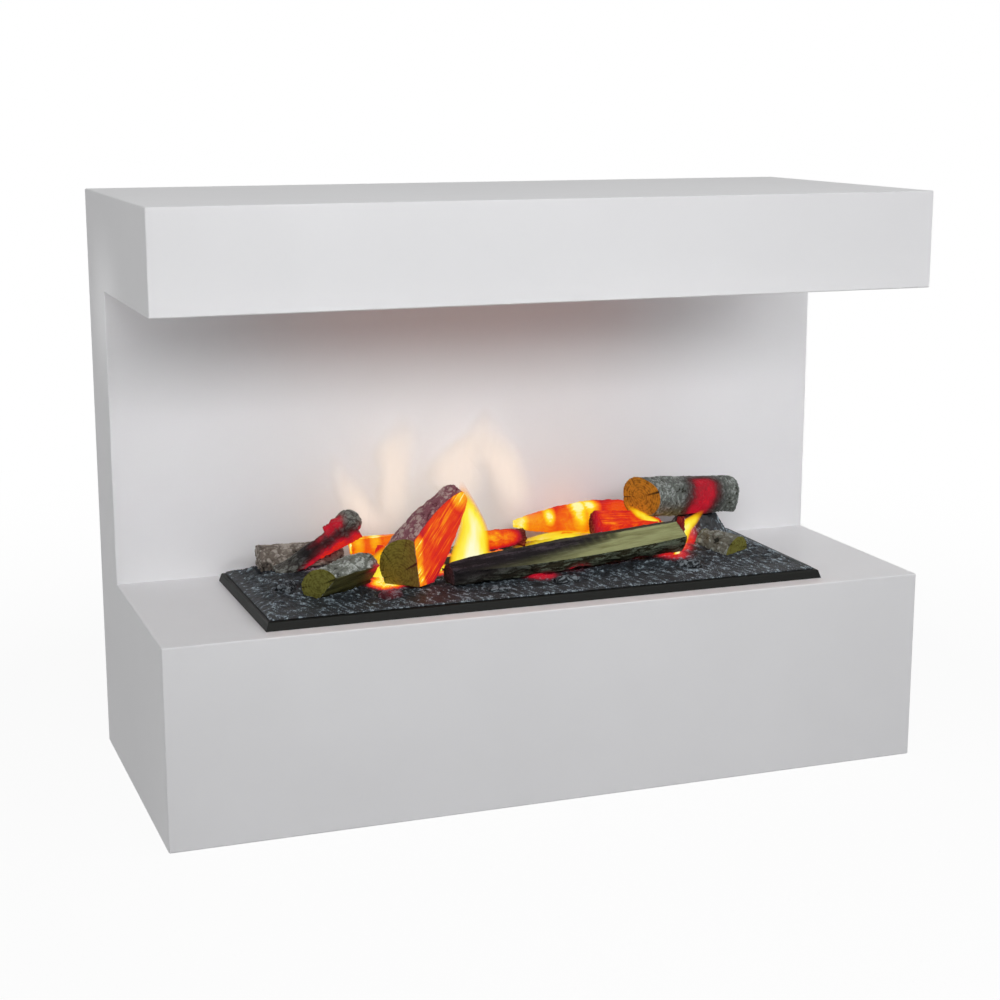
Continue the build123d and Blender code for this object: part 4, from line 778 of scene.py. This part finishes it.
# %% Split log
SAPWOOD_GLOW = (
    # shares along, angles and shares of the radius of the painted yellow glow on the cleft face next to the
    # sawn end
    (-0.48, 137, 0.98),
    (-0.62, 155, 0.79),
    (-0.75, 180, 0.72),
    (-0.86, 205, 0.79),
    (-0.95, 223, 0.98),
)
cast_log(
    "split_log", 34, 40, "flaky", bark=("2a1216", "90606a", "c9b3ac"), sawn=("625a1c", "8d8234"),
    ends=(1, 0), split=("8a2c06", "e07a1c"), splits=((180, 0.0),), bark_glow_share=0.12, waver=0.1,
    glow_spots=((0.2, 180, 74, 0.53), (-0.5, 180, 56, 0.53), (0.0, 232, 38, 0.44), (0.95, 170, 40, 0.84))
    + tuple((share, angle, 22, 0.78, out) for share, angle, out in SAPWOOD_GLOW),
)

# %% [markdown]
# The long front log is burnt along its top. The burn is widest at the left and tapers away to the
# right, where a slab has come off and pale wood shows. Its bark stays dark, with one small spot of painted
# glow underneath.

# %% Long front log
# shares along and reaches in mm
BURN = [(-1 + 0.07 * step, 62 - 2.5 * step) for step in range(21)]
cast_log(
    "log_front_long", 6, 3, "ridged", bark=("0a0906", "2d2a1a", "67705f"), sawn=("2c1c0c", "563a1a"),
    split=("7c7c4e", "a9ad7c"), splits=((120, 0.0), (85, 0.92)),
    burnt=tuple((share, 95, reach, 1.0) for share, reach in BURN),
    glow_spots=((0.05, 255, 22, 0.34),),
)

# %% [markdown]
# Behind it lie the glowing logs. They stand over the lamps, so a painted glow fills them all through: the
# small one and the half-round one red, the long ones orange with yellow bands where the cast is thin. A
# spot of painted glow on the axis of a log makes such a band.

# %% Glowing logs at the back
# shares along, reaches in mm and levels of the bands of painted glow
BANDS = ((-1.0, 36, 0.96), (-0.42, 21, 1.95), (0.06, 31, 1.62), (0.24, 31, 1.62))
LEFT_BANDS = ((-0.75, 22, 1.15), (-0.25, 22, 1.2), (0.65, 24, 1.15))
EVEN_GLOW = dict(vein=0.1, waver=0.07)
cast_log(
    "log_mid_small", 2, 0, "charred", bark=("2a0c06", "6b2a16", "9a5a3a"),
    glow_spots=((-0.5, 150, 30, 0.68), (0.1, 150, 26, 0.60)), **BURNT,
)
cast_log(
    "log_rear_long", -1, 0, "smooth", bark=("2a1004", "7a3a10", "b06a20"),
    glow_spots=((-0.7, 180, 60, 0.69), (0.0, 180, 60, 0.66), (0.8, 180, 60, 0.58))
    + tuple((share, 0, reach, level, 0.0) for share, reach, level in BANDS), **BURNT, **EVEN_GLOW,
)
cast_log(
    "log_rear_red", 3, -5, "charred", bark=("2a0806", "7a2412", "a85a30"),
    splits=((120, 0.0),), split=("9a2208", "d8501a"),
    glow_spots=((-0.5, 140, 46, 0.57), (0.4, 140, 46, 0.53)), **BURNT,
)
cast_log(
    "log_rear_left", -3, 0, "smooth", bark=("4a1c06", "a35a18", "d09040"),
    splits=((90, 0.0),), split=("9a4a10", "e0a030"),
    glow_spots=((0.0, 150, 60, 0.62),)
    + tuple((share, 0, reach, level, 0.0) for share, reach, level in LEFT_BANDS), **BURNT, **EVEN_GLOW,
)

# %% [markdown]
# On the right a fat round log shows a sawn end and a burn mark with a faint painted glow that runs down
# to the flames below it, and a half-buried log lies before it.

# %% Logs on the right
# shares along, angles and reaches in mm of the burn mark and its painted glow; the char reaches further
# than the glow
SCORCH_RIM = 11
SCORCH_AND_GLOW = ((0.30, 140, 25), (0.28, 165, 26), (0.24, 190, 25), (0.20, 215, 24))
cast_log(
    "log_round", 4, -4, "checked", bark=("2a2822", "6a6f6a", "a4aaa6"), sawn=("8f5a14", "d8922c"),
    ends=(1, 0), burnt=tuple((share, angle, reach + SCORCH_RIM, 0.95) for share, angle, reach in SCORCH_AND_GLOW),
    glow_spots=tuple((share, angle, reach, 0.31) for share, angle, reach in SCORCH_AND_GLOW),
)
cast_log(
    "log_right_small", -66, -4, "flaky", bark=("2b2a26", "7b796e", "b0b6af"), sawn=("5a571e", "827e3c")
)

# %% [markdown]
# Two sticks of kindling with a red painted glow stand in the embers, and five lumps of coal lie along the
# front and the left end of the bed, one of them with a red painted glow. They are cast like the logs, all
# sticks at once and all lumps at once.

# %% Kindling and coal
cast_log(
    "kindling", 42, 72, "charred", bark=("2a0a08", "7a1c10", "a03a20"),
    glow_spots=((-0.9, 0, 400, 0.46),), **BURNT,
)
cast_log(
    "coal_lumps", 0, 0, "charred", bark=("101213", "2c3033", "848c92"),
    glow_spots=((-0.53, 180, 20, 0.20, 0.45),), **BURNT,
)

# %% [markdown]
# The bed of embers is darker than the logs. Charcoal stays in its hollows, blue-grey ash is brushed over
# the lumps, and where light breaks through, the paint is dimmed by as much as the resin glows.

# %% Paint of the embers
def ember_paint():
    """Dark cast resin: charcoal in the hollows, blue-grey ash on the lumps."""
    material, tree, shader, place = new_material("ash_brushed_ember_resin")
    relief = add_node(tree, "Attribute", attribute_name="relief").outputs["Fac"]
    glowing = add_node(tree, "Attribute", attribute_name="painted_glow").outputs["Fac"]
    grit = add_node(
        tree, "TexNoise", {"Vector": place, "Scale": per_metre(3), "Detail": 6.0, "Roughness": 0.8}
    ).outputs["Fac"]
    worn = add_node(tree, "Mix", {"Factor": 0.55, "A": relief, "B": grit}, data_type="FLOAT")
    ash = add_node(
        tree,
        "ValToRGB",
        {"Fac": worn.outputs["Result"]},
        ramp=[(0.36, "06080a"), (0.50, "15191e"), (0.59, "303940"), (0.68, "a6b6c0")],
    )
    # painted glow of the lamps breaking through the resin, drifting with the grit
    flicker = add_node(tree, "MapRange", {"Value": grit, "To Min": 0.6, "To Max": 1.4})
    painted_glow = add_node(
        tree, "Math", {0: glowing, 1: flicker.outputs["Result"]}, operation="MULTIPLY"
    ).outputs[0]
    dimmed = add_node(
        tree, "Mix", {"Factor": painted_glow, "A": ash.outputs["Color"], "B": linear("120806")}, data_type="RGBA"
    )
    tree.links.new(dimmed.outputs["Result"], shader.inputs["Base Color"])
    glow = add_node(tree, "ValToRGB", {"Fac": painted_glow}, ramp=GLOW_COLOURS)
    tree.links.new(glow.outputs["Color"], shader.inputs["Emission Color"])
    shader.inputs["Emission Strength"].default_value = 1.0
    gloss = add_node(tree, "MapRange", {"Value": grit, "To Min": 0.42, "To Max": 0.7})
    tree.links.new(gloss.outputs["Result"], shader.inputs["Roughness"])
    bump = add_node(tree, "Bump", {"Height": grit, "Strength": 0.7, "Distance": 0.8 * MM})
    tree.links.new(bump.outputs["Normal"], shader.inputs["Normal"])
    return material


ember_resin = ember_paint()
print("made", ember_resin.name)

# %% [markdown]
# The bed is one vacuum-cast tray of lumps. Its top is heaped and gritty, its front slope is furrowed by
# the mould, and the resin glows round the slot where the mist rises. Its solid is covered again with even
# faces, pushed about as the logs are, and its flat underside is merged to few faces.

# %% Bed of embers
BED_CELL = 1.3 * MM
# sizes in mm: furrows take over from lumps down the front slope, and carving sets in above a thin rim
LUMP_SIZE = 13.0
LUMP_DEPTH = 5.0
FURROW_PITCH = 3.6
FURROW_DEPTH = 3.2
FRONT_SLOPE = (-92, -116)
THIN_RIM = (2, 8)
# half the length of the slot, its place towards the wall, the band over which its light fades
SLOT_ACROSS = 140
SLOT_BACK = -32
SLOT_FADE = (12, 34)
SLOT_GLOW = 0.9

bed_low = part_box("ember_bed")[0]
bed = even_skin("ember_bed_cast", cad_skin("ember_bed"), BED_CELL)
GLOWS = [
    # places in mm where light breaks through the resin: across, towards the wall, reach, level
    (-156, -78, 26, 0.95),
    (-146, -44, 32, 0.95),
    (-90, -54, 24, 0.92),
    (6, -94, 24, 0.34),
    (166, -70, 26, 0.40),
    (172, -66, 6, 1.05),
    (178, -50, 26, 0.50),
    (196, -34, 24, 0.46),
]
bm = bmesh.new()
bm.from_mesh(bed.data)
relief_layer = bm.verts.layers.float.new("relief")
painted_glow_layer = bm.verts.layers.float.new("painted_glow")
bed_normals = [vert.normal.copy() for vert in bm.verts]
for vert, normal in zip(bm.verts, bed_normals):
    place = vert.co / MM
    lumps = noise.voronoi(place / LUMP_SIZE + 0.6 * noise.noise_vector(place / 7))[0]
    heap = 1 - min(lumps[0] * 1.1, 1.0)
    rough = noise.turbulence(place / 8, 4, True, amplitude_scale=0.7, frequency_scale=2.2)
    gnarl = 1.5 * (1 - min(rough, 1.0))
    stroke = Vector(((place.x + 0.45 * place.y) / FURROW_PITCH, place.y / (4 * FURROW_PITCH), 0))
    furrow = 1 - min(2.2 * abs(noise.noise(stroke + 0.35 * noise.noise_vector(place / 6))), 1.0)
    front = max(smooth_step(*FRONT_SLOPE, place.y), 0.4)
    upward = smooth_step(0.15, 0.6, normal.z)
    height = (1 - 0.7 * front) * (0.5 * heap + 0.5 * gnarl) + 0.7 * front * furrow
    thick = smooth_step(*THIN_RIM, place.z - bed_low.z / MM)
    # painted glow of the lamps round the slot and at the places in GLOWS
    beyond = max(abs(place.x) - SLOT_ACROSS, 0.0)
    from_slot = sqrt((place.y - SLOT_BACK) ** 2 + beyond ** 2)
    painted_glow = SLOT_GLOW * (1 - smooth_step(*SLOT_FADE, from_slot))
    for across, back, reach, level in GLOWS:
        away = sqrt((place.x - across) ** 2 + (place.y - back) ** 2) / reach
        painted_glow = max(painted_glow, level * (1 - smooth_step(0.3, 1.0, away)))
    vert[relief_layer] = height
    vert[painted_glow_layer] = painted_glow * upward
    depth = LUMP_DEPTH - (LUMP_DEPTH - FURROW_DEPTH) * front
    vert.co -= normal * (1 - height) * depth * upward * thick * MM
below = [face for face in bm.faces if face.normal.z < -0.99]
bmesh.ops.dissolve_faces(bm, faces=below)
bmesh.ops.triangulate(bm, faces=[face for face in bm.faces if len(face.verts) > 4])
bm.to_mesh(bed.data)
bm.free()
bed.data.materials.append(ember_resin)
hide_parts("ember_bed")
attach(bed, LOG_BODY)
print("cast the bed of embers with", len(bed.data.polygons), "faces")

# %% [markdown]
# The flames are mist lit by the lamps below. An attribute runs from 0 on the edge and tip of a tongue to
# its strength in the heart, and the material turns it into colour and into how much of the wall shows
# through.

# %% Lit mist
def flame_light():
    """Lit mist: a pale yellow heart that thins out through amber and cream to nothing."""
    material, tree, shader, place = new_material("lit_mist")
    heart = add_node(tree, "Attribute", attribute_name="heart").outputs["Fac"]
    blaze = add_node(tree, "Attribute", attribute_name="blaze").outputs["Fac"]
    streak = add_node(tree, "Mapping", {"Vector": place, "Scale": (1, 1, 0.25)})
    curl = add_node(tree, "TexNoise", {"Vector": streak.outputs[0], "Scale": per_metre(14), "Detail": 3.0})
    breath = add_node(tree, "MapRange", {"Value": curl.outputs["Fac"], "To Min": 0.5, "To Max": 1.5})
    dense = add_node(
        tree, "Math", {0: heart, 1: breath.outputs["Result"]}, operation="MULTIPLY", use_clamp=True
    ).outputs[0]
    burning = add_node(
        tree,
        "ValToRGB",
        {"Fac": dense},
        ramp=[(0.0, "f57a10"), (0.22, "f9a812"), (0.42, "fdd31a"), (0.72, "fff04a"), (1.0, "fffdd0")],
    )
    tint = add_node(
        tree,
        "Mix",
        {"Factor": blaze, "A": linear("fdeadb"), "B": burning.outputs["Color"]},
        data_type="RGBA",
    )
    tree.links.new(tint.outputs["Result"], shader.inputs["Emission Color"])
    shader.inputs["Emission Strength"].default_value = 1.0
    shader.inputs["Base Color"].default_value = linear("000000")
    shader.inputs["Roughness"].default_value = 1.0
    shader.inputs["Specular IOR Level"].default_value = 0.0
    veil = add_node(tree, "MapRange", {"Value": dense, "From Max": 0.62, "To Max": 0.94})
    tree.links.new(veil.outputs["Result"], shader.inputs["Alpha"])
    return material


mist = flame_light()
print("made", mist.name)

# %% [markdown]
# Each tongue is a closed leaf with a flat oval section, made by bridging flattened rings up a bent spine.
# Bright tongues are fullest at the foot, and pale wisps fade at the foot as well as at the tip.

# %% A function that makes a tongue
FLAME_RING = 24
FLAME_STEPS = 20
FLATNESS = 0.3
THINNEST = 0.4
# tongues up to this strength are pale wisps
WISP = 0.5


def between(stations, share):
    """The station at a share of the way up a spine, on a smooth curve through its stations."""
    reach = share * (len(stations) - 1)
    index = min(int(reach), len(stations) - 2)
    rest = reach - index
    near = [Vector(stations[min(max(index + step, 0), len(stations) - 1)]) for step in (-1, 0, 1, 2)]
    bend = 2 * near[1] + (near[2] - near[0]) * rest
    bend += (2 * near[0] - 5 * near[1] + 4 * near[2] - near[3]) * rest ** 2
    bend += (3 * near[1] - near[0] - 3 * near[2] + near[3]) * rest ** 3
    return bend / 2


def tongue(bm, heart, blaze, stations, strength):
    """Adds one tongue; a station is its place across, to the wall and up, and its half width, in mm."""
    rings = []
    for step in range(FLAME_STEPS + 1):
        share = step / FLAME_STEPS
        x, y, z, half = between(stations, share)
        half = max(half, THINNEST)
        flat = Matrix.Diagonal((half * MM, FLATNESS * half * MM, 1, 1))
        place = Matrix.Translation((x * MM, y * MM, z * MM))
        ring = bmesh.ops.create_circle(bm, segments=FLAME_RING, radius=1.0, matrix=place @ flat)["verts"]
        for vert in ring:
            side = (vert.co.x - x * MM) / (half * MM)
            round_off = max(1 - side * side, 0.0)
            if strength > WISP:
                fade = (1 - 0.6 * share) * smooth_step(0.0, 0.3, 1 - share)
                vert[heart] = strength * round_off ** 0.8 * fade
                vert[blaze] = 1.0
            else:
                fade = smooth_step(0.0, 0.6, 1 - share) * smooth_step(0.0, 0.35, share)
                vert[heart] = strength * round_off ** 3 * fade
        rings.append(ring)
    for lower, upper in zip(rings, rings[1:]):
        hoops = []
        for ring in (lower, upper):
            touching = {edge for vert in ring for edge in vert.link_edges}
            hoops += [edge for edge in touching if edge.verts[0] in ring and edge.verts[1] in ring]
        bmesh.ops.bridge_loops(bm, edges=hoops)
    for ring in (rings[0], rings[-1]):
        bmesh.ops.contextual_create(bm, geom=ring)


print("a tongue has", FLAME_STEPS + 1, "rings")

# %% [markdown]
# The flames between the logs lift out with the bed, and the pale wisps stay over the well they rise from.
# Each tongue is a list of stations from its foot to its tip, with its strength.

# %% Flames and wisps
FLAMES = [
    # the bright flame beside the split log
    ([(-50, -32, 212, 24), (-50, -32, 228, 22), (-47, -32, 252, 17), (-52, -32, 276, 11),
      (-60, -32, 306, 2)], 1.3),
    # light that wells up between the left logs
    ([(-148, -56, 206, 26), (-148, -56, 222, 25), (-146, -56, 238, 20), (-142, -56, 254, 4)], 1.0),
    ([(-92, -50, 208, 16), (-90, -50, 216, 13), (-88, -50, 226, 3)], 1.0),
    # bright tongues that lick the round log from below
    ([(176, -38, 218, 20), (184, -38, 233, 18), (198, -38, 243, 12), (216, -38, 256, 2)], 1.2),
    ([(176, -20, 226, 14), (166, -20, 240, 13), (152, -20, 250, 9), (130, -20, 266, 2)], 1.0),
    # low light between the long logs
    ([(58, 8, 210, 60), (60, 8, 220, 54), (66, 8, 229, 34), (70, 8, 235, 4)], 1.0),
]
WISPS = [
    ([(-128, 30, 236, 26), (-142, 30, 256, 28), (-156, 30, 280, 25), (-168, 30, 304, 20),
      (-180, 30, 336, 6)], 0.28),
    ([(-118, 30, 232, 26), (-115, 30, 272, 26), (-112, 30, 304, 22), (-112, 30, 330, 30),
      (-104, 30, 350, 26), (-102, 30, 374, 10)], 0.34),
    ([(-46, 30, 240, 30), (-42, 30, 278, 34), (-44, 30, 304, 40), (-34, 30, 326, 34),
      (-20, 30, 344, 22), (-14, 30, 372, 5)], 0.40),
    ([(28, 30, 240, 32), (22, 30, 272, 32), (14, 30, 298, 30), (2, 30, 322, 36),
      (-6, 30, 344, 24), (-10, 30, 374, 5)], 0.42),
]


def mist_piece(name, tongues, body):
    """One piece of lit mist that rides a body; light passes it, so it throws no shadow."""
    bm = bmesh.new()
    bm.verts.layers.float.new("heart")
    bm.verts.layers.float.new("blaze")
    for stations, strength in tongues:
        tongue(bm, bm.verts.layers.float["heart"], bm.verts.layers.float["blaze"], stations, strength)
    bmesh.ops.recalc_face_normals(bm, faces=bm.faces)
    for face in bm.faces:
        face.smooth = True
    sheet = bpy.data.meshes.new(name)
    bm.to_mesh(sheet)
    bm.free()
    piece = bpy.data.objects.new(name, sheet)
    bpy.context.scene.collection.objects.link(piece)
    sheet.materials.append(mist)
    piece.visible_shadow = False
    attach(piece, body)
    print("lit", len(tongues), "tongues of", name)


mist_piece("flames", FLAMES, LOG_BODY)
mist_piece("mist_wisps", WISPS, "surround")
